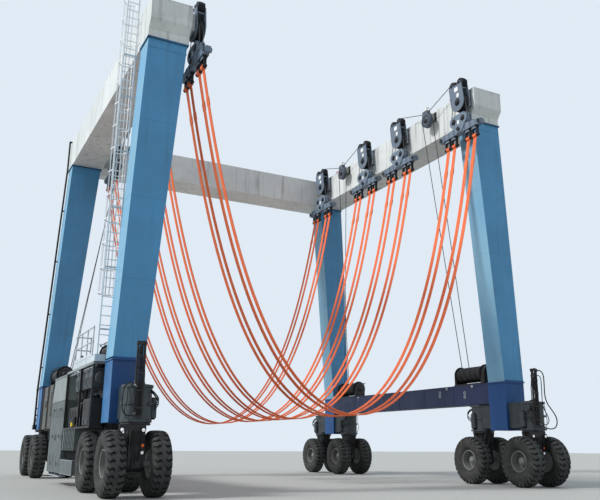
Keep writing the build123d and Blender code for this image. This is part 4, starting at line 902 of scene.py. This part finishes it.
def dress_hoist(name, stations):
    """Plates, pins and ribs of the lower blocks, equalisers and shackles of one hoist."""
    body = {"body": f"{name}_hoist"}
    white = Shape(f"{name}_block_patches", "trim_white", **body)
    dark = Shape(f"{name}_block_pins", "dark_steel", **body)
    bolts = Shape(f"{name}_block_bolts", "bright_steel", **body)
    ribs = Shape(f"{name}_equaliser_ribs", "block_grey", bevel=0.003, **body)
    for side, y, face in product(BOTH, stations, BOTH):
        middle, out = side * HOIST_X, face * X
        x, bar = middle + face * 0.16, middle + face * 0.115
        rounded_plate(white, x, y, 16.93, 0.07, 0.10, face)
        for k in BOTH:
            v = y + k * LOWER_DY
            sheave_pin(dark, bolts, (x + face * 0.025, v, LOWER_Z), face, cover(0.10, 0.014, 0.085, 0.02),
                       4, 0.062, 0.010, 0.3, 18)
            dark.turned((x, v, LOWER_Z), out, [(0, 0.155), (0.01, 0.153), (0.01, 0.09)], 24)
            for i in range(6):
                a = -k * math.pi * (0.5 + (i + 0.5) / 6)
                bolts.bolt((x, v + 0.265 * math.cos(a), LOWER_Z + 0.265 * math.sin(a)), out, 0.010)
        sheave_pin(dark, bolts, (x + face * 0.05, y, EQUALISER_Z), face,
                   cover(0.105, 0.016, 0.085, 0.024), 4, 0.07, 0.011, 0.7)
        for step in (-1.15, -0.78, -0.41, 0.41, 0.78, 1.15):
            top = EQUALISER_Z + (1.5 - abs(step)) * 0.14 - 0.02
            ribs.box(bar, bar + face * 0.035, y + step - 0.01, y + step + 0.01, 16.36, top)
        ribs.box(bar, bar + face * 0.03, y - 1.22, y + 1.22, 16.34, 16.36)
        for end in BOTH:
            lug = [(0, 0.104), (0.006, 0.10), (0.006, 0.056), (0, 0.052)]
            dark.turned((x, y + end * 1.39, 16.46), out, lug, 28)
        for s in (y + dy for dy in SLING_DY):
            nut = [(0, 0.075), (0.02, 0.07), (0.03, 0.045), (0.03, 0)]
            dark.turned((middle, s + face * 0.23, SHACKLE_Z), face * Y, nut, 14)
            dark.turned((middle, s + face * 0.155, 16.30), X,
                        [(-0.085, 0), (-0.085, 0.05), (0.085, 0.05), (0.085, 0)], 14)
            ribs.box(middle + face * 0.055, middle + face * 0.085, s - 0.17, s + 0.17, 16.21, 16.34)
            bolts.bolt_line((middle + face * 0.085, (s - 0.1, s + 0.1), 16.29), 2, out, 0.014)


def sling_line(steps):
    """The catenary of a free sling between its two shackles, as (x, z, slope)."""
    low, high = HOIST_X / 20, HOIST_X * 20
    for _ in range(60):
        a = (low + high) / 2
        if a * (math.cosh(HOIST_X / a) - 1) > SHACKLE_Z - SLING_LOW:
            low = a
        else:
            high = a
    reach = a * math.sinh(HOIST_X / a) * 0.992
    slopes = [reach * (2 * i / steps - 1) / a for i in range(steps + 1)]
    return [(a * math.asinh(slope), SLING_LOW + a * (math.hypot(1, slope) - 1), slope) for slope in slopes]


def rounded(part, power):
    """A sine or cosine drawn towards a square."""
    return math.copysign(abs(part) ** power, part)


def dress_slings(name, stations):
    """Each sling is an endless strap whose two strands hang side by side from a pair of eyes."""
    eyes = Shape(f"{name}_sling_eyes", "sling_orange", body=f"{name}_hoist")
    strands = Shape()
    line = sling_line(72)
    rim = [(-0.052, 0.062), (-0.05, 0.098), (-0.03, 0.104), (0.03, 0.104), (0.05, 0.098), (0.052, 0.062)]
    section = [(rounded(u, 0.6), rounded(v, 0.8) * 0.0235) for u, v in circle(1, 12)]
    for s in (y + dy for y in stations for dy in SLING_DY):
        for strand in (-0.056, 0.056):
            phase, rings = random.uniform(0, 6.28), []
            for i, (x, z, slope) in enumerate(line):
                out = Vector((slope, 0, -1)) / math.hypot(1, slope)
                sway = math.copysign(0.002, strand) * math.sin(i * 0.35 + phase)
                middle = Vector((x, s + strand + sway, z))
                wide = 0.0525 + 0.0012 * math.sin(i * 0.8 + phase)
                rings.append(strands.ring(middle + out * lift + flat * wide * Y for flat, lift in section))
            strands.skin(rings)
            for side in BOTH:
                eyes.turned((side * HOIST_X, s + strand, SHACKLE_Z), Y, rim, 28)
        for x, z, slope in (line[3], line[-4]):
            out, along = (Vector(v) / math.hypot(1, slope) for v in ((slope, 0, -1), (1, 0, slope)))
            corners = ((-0.114, -0.027), (0.114, -0.027), (0.114, 0.027), (-0.114, 0.027))
            outline = [Vector((x, s + flat, z)) - along * 0.16 + out * lift for flat, lift in corners]
            strands.prism(outline, along * 0.32)
    obj = piece(strands, f"{name}_sling_strands", "sling_orange", stands_for=[f"{name}_slings"])
    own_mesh(obj)


dress_upper_blocks()
dress_guide_sheaves()
for hoist, places in HOISTS.items():
    rope_falls(hoist, places)
    dress_hoist(hoist, places)
    dress_slings(hoist, places)


# Machinery outside the left sill

OUTER_X, TRAY_TOP = -9.70, 2.26    # the outer faces of most of the housings, the floor of the bay
CABINET_Y, CABINET_TOP, CABINET_KINK = (-1.90, 1.20), 4.45, 3.40    # its wall leans in above the kink
DOORS = 4
UNDER_Y = (-4.449, -1.90)    # the housing below the bay
ENGINE_X, ENGINE_SIDE, CRANK_Z = -9.04, -9.56, 2.61
HEADS = [-4.55 + 0.375 * (i + 0.5) for i in range(6)]
CLEANERS_Y, CLEANERS_Z = (-6.60, -3.50), (3.61, 4.30)
DECK_X, DECK_Y, DECK_TOP = (-9.70, -9.04), (-7.05, -3.10), 4.74


def spread(low, high, count):
    """Evenly spaced places from low to high."""
    return [low + i * (high - low) / (count - 1) for i in range(count)]


def louvres(shape, x, y0, y1, z0, z1, count):
    """Pressed louvres on a face that looks to -X: sloping lips, one above the other."""
    step = (z1 - z0) / count
    for low in (z0 + (i + 0.2) * step for i in range(count)):
        shape.prism([(x, y0, low), (x - 0.02, y0, low), (x, y0, low + 0.6 * step)], (y1 - y0) * Y)


def dress_cabinet():
    """Hinges, handles, louvres, drip edges and the step under the doors."""
    slots = Shape("cabinet_louvres", "cabinet_grey")
    edges = Shape("cabinet_edges", "cabinet_grey", bevel=0.003)
    irons = Shape("cabinet_hinges_handles", "cabinet_grey")
    step = Shape("cabinet_step", "galvanised")
    x, (y0, y1) = OUTER_X, CABINET_Y
    pitch = (y1 - y0) / DOORS
    for i in range(DOORS):
        left, right = y0 + i * pitch, y0 + (i + 1) * pitch
        hinge, latch = (left + 0.06, right - 0.10) if i % 2 else (right - 0.05, left + 0.12)
        for z in (0.85, 1.95, 3.05):
            irons.box(x - 0.007, x, hinge - 0.04, hinge + 0.04, z - 0.05, z + 0.05)
            irons.rod((x - 0.014, hinge, z - 0.06), (x - 0.014, hinge, z + 0.06), 0.012, 10)
        irons.box(x - 0.010, x, latch - 0.035, latch + 0.035, 1.76, 2.04)
        grip = ((0, 1.82), (0.032, 1.84), (0.034, 1.90), (0.032, 1.96), (0, 1.98))
        irons.hose([(x - out, latch, z) for out, z in grip], 4, 0.009)
        louvres(slots, x, left + 0.16, right - 0.15, 0.72, 1.24, 9)
        louvres(slots, x, left + 0.16, right - 0.15, 2.72, 3.12, 7)
    eaves = x + 0.03
    edges.box(x - 0.010, x + 0.01, y0 - 0.008, y1 + 0.008, CABINET_KINK - 0.03, CABINET_KINK)
    edges.box(eaves, -SILL_OUT, y0 - 0.02, y1 + 0.02, CABINET_TOP, CABINET_TOP + 0.025)
    edges.box(eaves, eaves + 0.01, y0 - 0.02, y1 + 0.02, CABINET_TOP - 0.05, CABINET_TOP + 0.025)
    eye = circle(0.04, 12)
    for y, dx in product((y0 + 0.5, y1 - 0.5), (0.18, 0.56)):
        irons.tube([(x + dx, y + u, CABINET_TOP + 0.055 + v) for u, v in eye + eye[:1]], 0.010)
    for z in (0.9, 2.2, 3.6):
        edges.bolt_line(((x + 0.15, x + 0.95), y0, z), 4, -Y, 0.012)
    step.box(x - 0.02, x + 0.26, y0 + 0.05, y1 - 0.35, 0.37, 0.40)
    for y in spread(y0 + 0.12, y0 + 2.59, 14):
        step.box(x - 0.015, x + 0.25, y, y + 0.02, 0.40, 0.412)
    for y in (y0 + 0.25, (y0 + y1) / 2, y1 - 0.6):
        step.box(x + 0.10, x + 0.13, y, y + 0.04, 0.40, 0.50)


def dress_lower_housing():
    """Bolts on the ribs, a black sheet and black strips at the back of the recess that are painted shade, and
    the treads of the boarding step.
    """
    bolts = Shape("lower_housing_bolts", "cabinet_grey")
    back = Shape("recess_back", "black_paint", "machine_dark")
    treads = Shape("step_treads", "light_grey")
    x, (y0, y1) = OUTER_X, UNDER_Y
    for y in spread(y0 + 0.03, y0 + 2.13, 8):
        bolts.bolt_line((x, y, (1.47, 2.13)), 4, -X, 0.010)
    # Painted shade: a black sheet and black strips fill the back of the recess where shadow falls.
    back.box(x + 0.165, x + 0.18, y0 + 0.01, y1 - 0.01, 1.05, 1.39)
    for y in spread(y0 + 0.1, y0 + 2.3, 12):
        back.box(x + 0.14, x + 0.165, y, y + 0.03, 1.05, 1.39)
    for y in spread(y0 + 0.07, y0 + 2.445, 20):
        treads.box(x + 0.01, x + 0.16, y, y + 0.03, 1.04, 1.052)
    for z in (0.50, 1.02):
        treads.box(x - 0.008, x, y0 + 0.005, y1 - 0.005, z, z + 0.02)
    for y in spread(y0 + 0.005, y1 - 0.025, 4):
        treads.box(x - 0.008, x, y, y + 0.02, 0.52, 1.02)
        treads.bolt_line((x, y + 0.06, (0.60, 0.94)), 3, -X, 0.010)


def dress_engine():
    """Covers, manifold, filters, belts and pumps of the engine, with its hoses."""
    covers = Shape("engine_head_covers", "black_paint", "machine_dark", bevel=0.012)
    pipes = Shape("exhaust_manifold_pipes", "dark_steel")
    dark = Shape("engine_parts", "machine_dark")
    bolts = Shape("engine_bolts", "bright_steel")
    hoses = Shape("engine_hoses", "hose_rubber", "machine_dark")
    side = ENGINE_SIDE
    for y in HEADS:
        row = (y - 0.09, y + 0.09)
        covers.box(ENGINE_X - 0.13, ENGINE_X + 0.13, y - 0.12, y + 0.12, 3.30, 3.335)
        for dx in (-0.1, 0.1):
            bolts.bolt_line((ENGINE_X + dx, row, 3.335), 2, Z, 0.010)
        dark.box(side - 0.018, side, y - 0.12, y + 0.12, 2.62, 2.92)
        for z in (2.65, 2.89):
            bolts.bolt_line((side - 0.018, row, z), 2, -X, 0.011)
        pipes.hose([(-9.20, y, 3.16), (-9.26, y, 3.165), (-9.31, y, 3.14), (-9.33, y, 3.10)], 3, 0.034, 10)
        pipes.hose([(-9.18, y + 0.05, 3.24), (-9.32, y + 0.06, 3.22),
                    (-9.45, y + 0.02, 3.12), (-9.50, y, 3.04)],
                   4, 0.007, 6)
    pipes.tube([(-9.33, y, 3.10) for y in (HEADS[0] - 0.14, -3.4, HEADS[-1] + 0.14)], 0.048, 14)
    pipes.hose([(-9.33, -3.05, 3.10), (-9.34, -3.05, 3.22), (-9.28, -3.05, 3.24), (-9.25, -3.05, 3.36)],
               4, 0.045, 12)
    for y in (-3.86, -3.35, -2.56):
        dark.turned((-9.24, y, 3.465), Y, band(0.126, 0.134, 0.03), 28)
    dark.turned((-9.24, -2.2, 5.20), Z, band(0.060, 0.066, -0.05), 20)
    for y in (-3.95, -3.78):
        can = [(0, 0), (0, 0.045), (0.02, 0.056), (0.24, 0.056), (0.25, 0.062), (0.27, 0.062), (0.27, 0)]
        dark.turned((-9.622, y, 2.36), Z, can, 20)
        dark.box(-9.63, side, y - 0.03, y + 0.03, 2.62, 2.66)
    starter = [(0, 0), (0, 0.05), (0.1, 0.05), (0.1, 0.062), (0.36, 0.062), (0.36, 0)]
    dark.turned((-9.618, -3.35, 2.42), Y, starter, 20)
    alternator = [(0, 0), (0, 0.06), (0.02, 0.085), (0.15, 0.085), (0.17, 0.06), (0.17, 0)]
    dark.turned((-9.47, -4.56, 3.125), Y, alternator, 22)
    belt = []
    for x, z, r, start in ((-9.47, 3.125, 0.05, 0.68), (ENGINE_X, CRANK_Z, 0.15, 3.82)):
        pulley = [(0, 0), (0, r + 0.012), (0.01, r + 0.012), (0.02, r), (0.03, r),
                  (0.04, r + 0.012), (0.08, 0)]
        dark.turned((x, -4.64, z), Y, pulley, 24)
        half = circle(r + 0.006, 16, start)[:9]
        belt += [(x + u, -4.615, z + v) for u, v in half]
    hoses.tube(belt + belt[:1], 0.009, 6)
    dark.turned((ENGINE_X, -5.0, CRANK_Z), Y, band(0.335, 0.35, 0.26) + [(0, 0.335)], 40)
    dark.turned((-9.08, -5.12, 3.41), Z,
                [(0, 0.05), (0.03, 0.05), (0.035, 0.06), (0.05, 0.06), (0.055, 0)], 16)
    bolts.bolt_line((side, -5.12, (2.35, 3.32)), 6, -X, 0.012)
    y, steps = -2.30, ((0, 1), (0.05, 1), (0.05, 0.8), (0.20, 0.8), (0.22, 0.6), (0.24, 0.6), (0.24, 0))
    for x, z, r in ((-9.22, 2.75, 0.12), (-8.86, 2.75, 0.12), (-9.04, 2.48, 0.10)):
        dark.turned((x, y, z), Y, [(along, r * part) for along, part in steps], 22)
        bolts.bolt_ring((x, y + 0.05, z), Y, r * 0.9, 6, 0.009)
        for k in BOTH:
            hoses.hose([(x + k * 0.06, y + 0.14, z), (x + k * 0.13, y + 0.16, z + 0.02),
                        (x + k * 0.16, y + 0.24, z - 0.10), (x + k * 0.12, y + 0.30, 2.40),
                        (x + k * 0.10, y + 0.42, 2.34)], 5, 0.020)
    for y, drop in ((-4.30, 0.0), (-3.66, 0.04)):
        hoses.hose([(-9.46, y, 3.63), (-9.47, y - 0.02, 3.50), (-9.44, y + 0.02, 3.30 - drop),
                    (-9.30, y + 0.05, 3.22), (-9.19, y + 0.05, 3.25)], 5, 0.045, 12)
    for x, z0, z1 in ((-8.85, 3.30, 2.98), (-9.38, 2.42, 2.40)):
        hoses.hose([(x, -5.0, z0), (x, -4.90, z0), (x, -4.67, z1), (x, -4.55, z1)], 5, 0.034, 12)


def dress_bay():
    """The light pipe under the walkway, the hoses behind it, and the fuel tank's straps and gauge."""
    pipe = Shape("bay_light_pipe", "galvanised", "light_grey")
    irons = Shape("bay_irons", "black_paint", "machine_dark")
    hoses = Shape("bay_hoses", "hose_rubber", "machine_dark")
    gauge = Shape("fuel_gauge", "under_grey")
    px, pz = -9.578, 4.362
    pipe.tube([(px, y, pz) for y in (-1.95, -4.5, -6.96)], 0.036, 14)
    for y in (-2.2, -3.3, -4.6, -5.8, -6.76):
        irons.box(-9.66, -9.53, y - 0.02, y + 0.02, 4.40, 4.42)
        irons.turned((px, y - 0.02, pz), Y, band(0.036, 0.042, 0.04), 16)
    for k, (y0, y1) in enumerate(((-6.7, -5.9), (-6.5, -5.5), (-6.2, -4.9), (-5.4, -4.6), (-5.1, -4.2))):
        x = -9.56 + 0.035 * (k % 3)
        hoses.hose([(x, y0, 3.62), (x - 0.03, y0 + 0.05, 3.45),
                    (x - 0.02, (y0 + y1) / 2, 3.32 - 0.04 * (k % 2)),
                    (x + 0.02, y1 - 0.08, 3.40), (x + 0.04, y1, 3.62)], 6, 0.020)
    for y in (-6.45, -5.75):
        irons.box(-9.668, -9.66, y - 0.03, y + 0.03, 2.32, 3.19)
        irons.box(-9.60, -9.29, y - 0.03, y + 0.03, 3.24, 3.248)
        irons.bolt((-9.668, y, 2.42), -X, 0.014)
    gauge.rod((-9.675, -6.62, 2.45), (-9.675, -6.62, 3.05), 0.014, 12)
    for z in (2.43, 3.05):
        irons.rod((-9.66, -6.62, z), (-9.69, -6.62, z), 0.020, 12)
    for y in (-6.86, -4.71, -1.94):
        irons.bolt_line((OUTER_X, y, (2.42, 4.30)), 6, -X, 0.012)


def dress_cleaners():
    """Doors, louvres and latches on the air cleaners' long housing."""
    doors = Shape("air_cleaner_doors", "cleaner_grey", bevel=0.004)
    slots = Shape("air_cleaner_louvres", "cleaner_grey")
    irons = Shape("air_cleaner_latches", "dark_steel")
    x, end = -9.61, CLEANERS_Y[0]
    walls = spread(*CLEANERS_Y, 5)
    for y0, y1 in zip(walls, walls[1:]):
        doors.box(x - 0.012, x, y0 + 0.03, y1 - 0.03, CLEANERS_Z[0] + 0.04, CLEANERS_Z[1] - 0.04)
        louvres(slots, x - 0.012, y0 + 0.13, y1 - 0.13, 3.72, 4.02, 7)
        for y in (y0 + 0.15, y1 - 0.15):
            irons.box(x - 0.030, x - 0.012, y - 0.02, y + 0.02, 4.17, 4.24)
            irons.rod((x - 0.020, y - 0.04, 3.67), (x - 0.020, y + 0.04, 3.67), 0.010, 8)
    doors.box(x, -SILL_OUT, end - 0.006, end, 3.65, 4.26)
    doors.turned((-9.31, end - 0.006, 3.95), -Y, [(0, 0.24), (0.03, 0.235), (0.05, 0.20), (0.05, 0)], 32)
    irons.bolt_ring((-9.31, end - 0.036, 3.95), -Y, 0.218, 8, 0.010)


def dress_oil_tank():
    """Manhole, sight glass, breather and return pipes of the oil tank."""
    covers = Shape("oil_tank_covers", "tank_brown")
    bolts = Shape("oil_tank_bolts", "bright_steel")
    pipes = Shape("oil_tank_pipes", "bright_steel", "galvanised")
    gauge = Shape("oil_gauge", "under_grey")
    x, y, z = -9.64, 3.45, 3.55
    covers.turned((x, y, z), -X, [(0, 0.27), (0.018, 0.27), (0.018, 0.235), (0.032, 0.235), (0.032, 0)], 40)
    bolts.bolt_ring((x - 0.018, y, z), -X, 0.252, 18, 0.011)
    covers.box(x - 0.05, x - 0.032, y - 0.07, y + 0.07, z - 0.012, z + 0.012)
    for rib in (1.33, 2.775, 4.22):
        bolts.bolt_line((OUTER_X, rib, (2.42, 4.13)), 9, -X, 0.011)
    gauge.rod((x - 0.028, 1.85, 2.9), (x - 0.028, 1.85, 3.9), 0.016, 12)
    for fitting in (2.88, 3.90):
        covers.rod((x, 1.85, fitting), (x - 0.045, 1.85, fitting), 0.024, 12)
    breather = [(0, 0.05), (0.05, 0.05), (0.06, 0.08), (0.13, 0.08), (0.14, 0.06), (0.14, 0)]
    covers.turned((-9.355, 1.75, 4.25), Z, breather, 20)
    covers.turned((-9.355, 3.85, 4.34), Z, [(0, 0.09), (0, 0.10), (0.03, 0.10), (0.04, 0.085), (0.04, 0)], 20)
    for k in range(3):
        y, px, far = 2.35 + 0.12 * k, -9.45 + 0.05 * k, 0.05 * k
        pipes.hose([(px, y, 4.24), (px, y, 4.42), (px + 0.09, y + 0.03, 4.52), (-9.15, y + 0.05, 4.56),
                    (-8.97 + far, y + 0.06, 4.55), (-8.96 + far, y + 0.20, 4.53), (-8.96 + far, 4.66, 4.53)],
                   5, 0.020, 10)
    pipes.hose([(x, 2.2, 2.40), (x - 0.03, 2.2, 2.40), (x - 0.035, 2.2, 2.36), (x - 0.035, 2.2, 2.30)],
               4, 0.016, 10)


def dress_walkway():
    """Edge flanges, stiffeners, toe boards and tread bars of the walkway, and the feet of its rails."""
    edges = Shape("walkway_edges", "deck_white")
    treads = Shape("walkway_treads", "galvanised")
    feet = Shape("rail_fittings", "galvanised")
    (x0, x1), (y0, y1) = DECK_X, DECK_Y
    for z in (4.50, 4.725):
        edges.box(x0 - 0.010, x0, y0, y1, z, z + 0.015)
        edges.box(x0, x1, y0 - 0.010, y0, z, z + 0.015)
    for y in spread(y0 + 0.05, y1 - 0.05, 6):
        edges.box(x0 - 0.008, x0, y - 0.006, y + 0.006, 4.515, 4.725)
    edges.box(x0, x0 + 0.006, y0 + 0.75, y1, DECK_TOP, DECK_TOP + 0.10)
    edges.box(x0, x1, y1 - 0.006, y1, DECK_TOP, DECK_TOP + 0.10)
    for y in spread(y0 + 0.05, y0 + 3.83, 64):
        treads.box(x0 + 0.02, x1 - 0.02, y, y + 0.012, DECK_TOP, DECK_TOP + 0.008)
    for y in (-7.0, -4.45, -3.9, -3.3):
        treads.box(x1, -SILL_OUT + 0.10, y - 0.06, y + 0.06, BASE_Z, BASE_Z + 0.012)
        treads.bolt_line((-8.96, (y - 0.03, y + 0.03), BASE_Z + 0.012), 2, Z, 0.012)
    for x, y in [(-9.652, y) for y in spread(-6.30, -3.148, 4)] + [(-9.088, -3.148)]:
        foot = [(0, 0.045), (0.012, 0.045), (0.016, 0.034), (0.03, 0.03), (0.03, 0.024)]
        feet.turned((x, y, DECK_TOP), Z, foot, 16)
        for height in (0.55, 1.076):
            knot = [(-0.04, 0.024), (-0.03, 0.031), (0.03, 0.031), (0.04, 0.024)]
            feet.turned((x, y, DECK_TOP + height), Z, knot, 14)


def dress_ladder():
    """Brackets from the ladder to the column's rear face, rung ends and bolts at its feet."""
    irons = Shape("ladder_brackets", "galvanised")
    bolts = Shape("ladder_bolts", "galvanised")
    foot_x = -9.39

    def middle(z):
        """X of the ladder's middle at a height."""
        return foot_x - (9.24 - 9.39) / (19.7 - DECK_TOP) * (z - DECK_TOP)

    for z in (5.6, 7.9, 10.2, 12.5, 14.8, 16.6):
        x, face = middle(z), -9.34 + (9.34 - 8.86) * (z - BASE_Z) / 12.49
        irons.box(x - 0.25, face + 0.35, -7.155, -7.143, z, z + 0.06)
        for rail in (x - 0.23, x + 0.23):
            irons.box(rail - 0.006, rail + 0.006, -7.143, -7.02, z, z + 0.06)
        bolts.bolt_line(((face + 0.08, face + 0.28), -7.143, z + 0.03), 2, Y, 0.012)
    for z, k in product((5.093 + 0.35 * i for i in range(41)), BOTH):
        bolts.turned((middle(z) + k * 0.256, -7.0, z), k * X, [(0, 0.017), (0.006, 0.015), (0.006, 0)], 8)
    for x in (foot_x - 0.23, foot_x + 0.23):
        irons.box(x - 0.05, x + 0.05, -7.05, -6.93, DECK_TOP, DECK_TOP + 0.012)
        bolts.bolt((x, -6.95, DECK_TOP + 0.012), Z, 0.010)


def dress_conduit():
    """Clip bolts along the conduit, its couplings and the box that it comes out of."""
    irons = Shape("conduit_clips", "dark_steel")
    box = Shape("conduit_box", "black_paint", "machine_dark", bevel=0.006)
    for z in (3.1, 5.6, 8.5, 11.5, 14.5):
        x = -9.445 + (9.445 - 8.985) * max(0.0, (z - BASE_Z) / 12.55)
        irons.bolt_line((x + 0.01, (7.998, 8.102), z), 2, -X, 0.012)
    for z in (2.62, 4.35):
        irons.turned((-9.445, 8.05, z), Z, band(0.05, 0.062, 0.10), 18)
    box.box(-9.52, -9.34, 7.90, 8.20, 2.36, 2.60)
    for z in (2.40, 2.56):
        box.bolt_line((-9.52, (7.94, 8.16), z), 2, -X, 0.010)


def dress_lamps():
    """Bases, bezels, lenses and guards of the beacon, the guide sheaves' lamps and the red lamps."""
    bezels = Shape("beacon_lens_ribs", "lens_yellow")
    white = Shape("sheave_lamp_lenses", "lens_white")
    red = Shape("red_lamp_ribs", "lens_red")
    irons = Shape("lamp_bases", "black_paint", "machine_dark")
    beacon = (-9.635, -3.5)
    irons.turned((*beacon, TRAY_TOP), Z, [(0, 0.064), (0.035, 0.064), (0.04, 0.061)], 20)
    for z in (2.33, 2.36, 2.39):
        bezels.turned((*beacon, z), Z, [(-0.006, 0.060), (0, 0.0625), (0.006, 0.060)], 24)
    for side, y in product(BOTH, GUIDES):
        x = side * HOIST_X
        for k in BOTH:
            face, guard = y + k * 0.09, y + k * 0.102
            white.box(x - 0.07, x + 0.07, face, y + k * 0.096, 18.67, 18.80)
            for left in (x - 0.082, x + 0.075):
                irons.box(left, left + 0.007, face, guard, 18.655, 18.82)
            for z in (18.655, 18.813):
                irons.box(x - 0.082, x + 0.082, face, guard, z, z + 0.007)
        irons.box(x - 0.10, x + 0.10, y - 0.10, y + 0.10, 18.65, 18.662)
    for x, y in product((-7.36, 7.36), (-6.6, 5.0)):
        irons.turned((x, y, BEAM_TOP), Z, [(0, 0.10), (0.02, 0.10), (0.03, 0.074), (0.045, 0.071)], 20)
        for z in (18.78, 18.81, 18.84):
            red.turned((x, y, z), Z, [(-0.008, 0.070), (0, 0.073), (0.008, 0.070)], 20)


def dress_winches():
    """Rope wound on the drums, and the flanges, motors, brakes and hoses of the winches."""
    ropes = Shape("wound_ropes", "rope_along")
    bolts = Shape("winch_bolts", "bright_steel")
    dark = Shape("winch_covers", "machine_dark")
    hoses = Shape("winch_hoses", "hose_rubber", "machine_dark")
    rails = Shape("winch_guards", "dark_steel")
    turns, pitch, per_turn = 44, 0.0388, 16
    for side, end in product(BOTH, BOTH):
        x, z, out = side * 8.65, 5.0, end * Y
        around = circle(0.358, per_turn)
        coil = ((i, *around[i % per_turn]) for i in range(turns * per_turn + 1))
        ropes.tube([(x + u, end * (6.537 - pitch * i / per_turn), z + v) for i, u, v in coil], 0.0205, 6)
        gear, motor, foot = (x, end * 6.855, z), (x, end * 7.075, z - 0.13), (x, end * 4.655, z)
        dark.turned(gear, out, cover(0.20, 0.03, 0.18, 0.04), 32)
        dark.turned(motor, out, cover(0.10, 0.02, 0.08, 0.03), 24)
        dark.turned(foot, -out, cover(0.16, 0.03, 0.12, 0.05), 28)
        bolts.bolt_ring(gear, out, 0.335, 20, 0.014)
        bolts.bolt_ring((x, end * 6.895, z), out, 0.16, 8, 0.011)
        bolts.bolt_ring(motor, out, 0.112, 8, 0.009)
        bolts.bolt_ring(foot, -out, 0.135, 8, 0.011)
        bolts.bolt_ring(foot, -out, 0.29, 14, 0.013)
        bolts.bolt_ring((x, end * 6.555, z), -out, 0.40, 12, 0.010)
        bolts.bolt_ring((x, end * 4.815, z), out, 0.40, 12, 0.010)
        for k in BOTH:
            bolts.bolt_line((x + k * 0.34, (end * 4.88, end * 6.5), 4.56), 8, Z, 0.016)
            hoses.hose([(x + k * 0.08, end * 6.98, 4.93), (x + k * 0.10, end * 6.98, 5.08),
                        (x + k * 0.21, end * 6.97, 5.12), (x + k * 0.32, end * 6.96, 4.95),
                        (x + k * 0.33, end * 6.95, 4.70), (x + k * 0.33, end * 6.95, 4.50)], 6, 0.020)
            dark.turned((x + k * 0.33, end * 6.95, BASE_Z), Z, [(0, 0.035), (0.05, 0.035), (0.05, 0)], 12)
        guard = x + side * 0.40
        rails.tube([(guard, end * y, 5.33) for y in (4.72, 5.7, 6.72)], 0.020, 12)
        for y in (end * 4.715, end * 6.72):
            rails.hose([(guard, y, 5.33), (guard - side * 0.06, y, 5.29), (x + side * 0.22, y, 5.22)],
                       4, 0.016, 10)


for dress in (dress_cabinet, dress_lower_housing, dress_engine, dress_bay, dress_cleaners, dress_oil_tank,
              dress_walkway, dress_ladder, dress_conduit, dress_lamps, dress_winches):
    dress()
for drawn, says, more in Shape.named:
    piece(drawn, *says, **more)


# Floor, light and the closing lines

def stage():
    """A pale floor, a soft sun and an even sky, dimmer as a light than as a background."""
    scene = bpy.context.scene
    ground = Finish("pale_floor")
    ground.bump(ground.noise(3.0, 4.0), 0.05, 0.01)
    ground.done(linear((0.70, 0.70, 0.68)), 0.85)
    floor = Shape()
    floor.bm.faces.new(floor.ring([(-160, -160, 0), (160, -160, 0), (160, 160, 0), (-160, 160, 0)]))
    obj = bpy.data.objects.new("floor", floor.mesh("floor"))
    obj.data.materials.append(ground.material)
    scene.collection.objects.link(obj)
    scene.world = bpy.data.worlds.new("studio")
    scene.world.use_nodes = True
    sky = Nodes(scene.world.node_tree)
    path = sky.node("LightPath", {})
    seen = sky.math("MAXIMUM", path["Is Camera Ray"], path["Is Glossy Ray"])
    seen = sky.math("MAXIMUM", seen, path["Is Transmission Ray"])
    strength = sky.node("MapRange", {"Value": seen, "To Min": 0.74, "To Max": 1.0})[0]
    sky.fill(sky.tree.nodes["Background"], {"Strength": strength, "Color": linear((0.88, 0.92, 0.96))})
    sun = bpy.data.lights.new("key", "SUN")
    sun.energy, sun.angle = 2.7, math.radians(12)
    lamp = bpy.data.objects.new("key", sun)
    lamp.matrix_world = turn_to((-0.80, 0.06, 0.60)).to_4x4()
    scene.collection.objects.link(lamp)
    scene.view_settings.view_transform = "Standard"


stage()
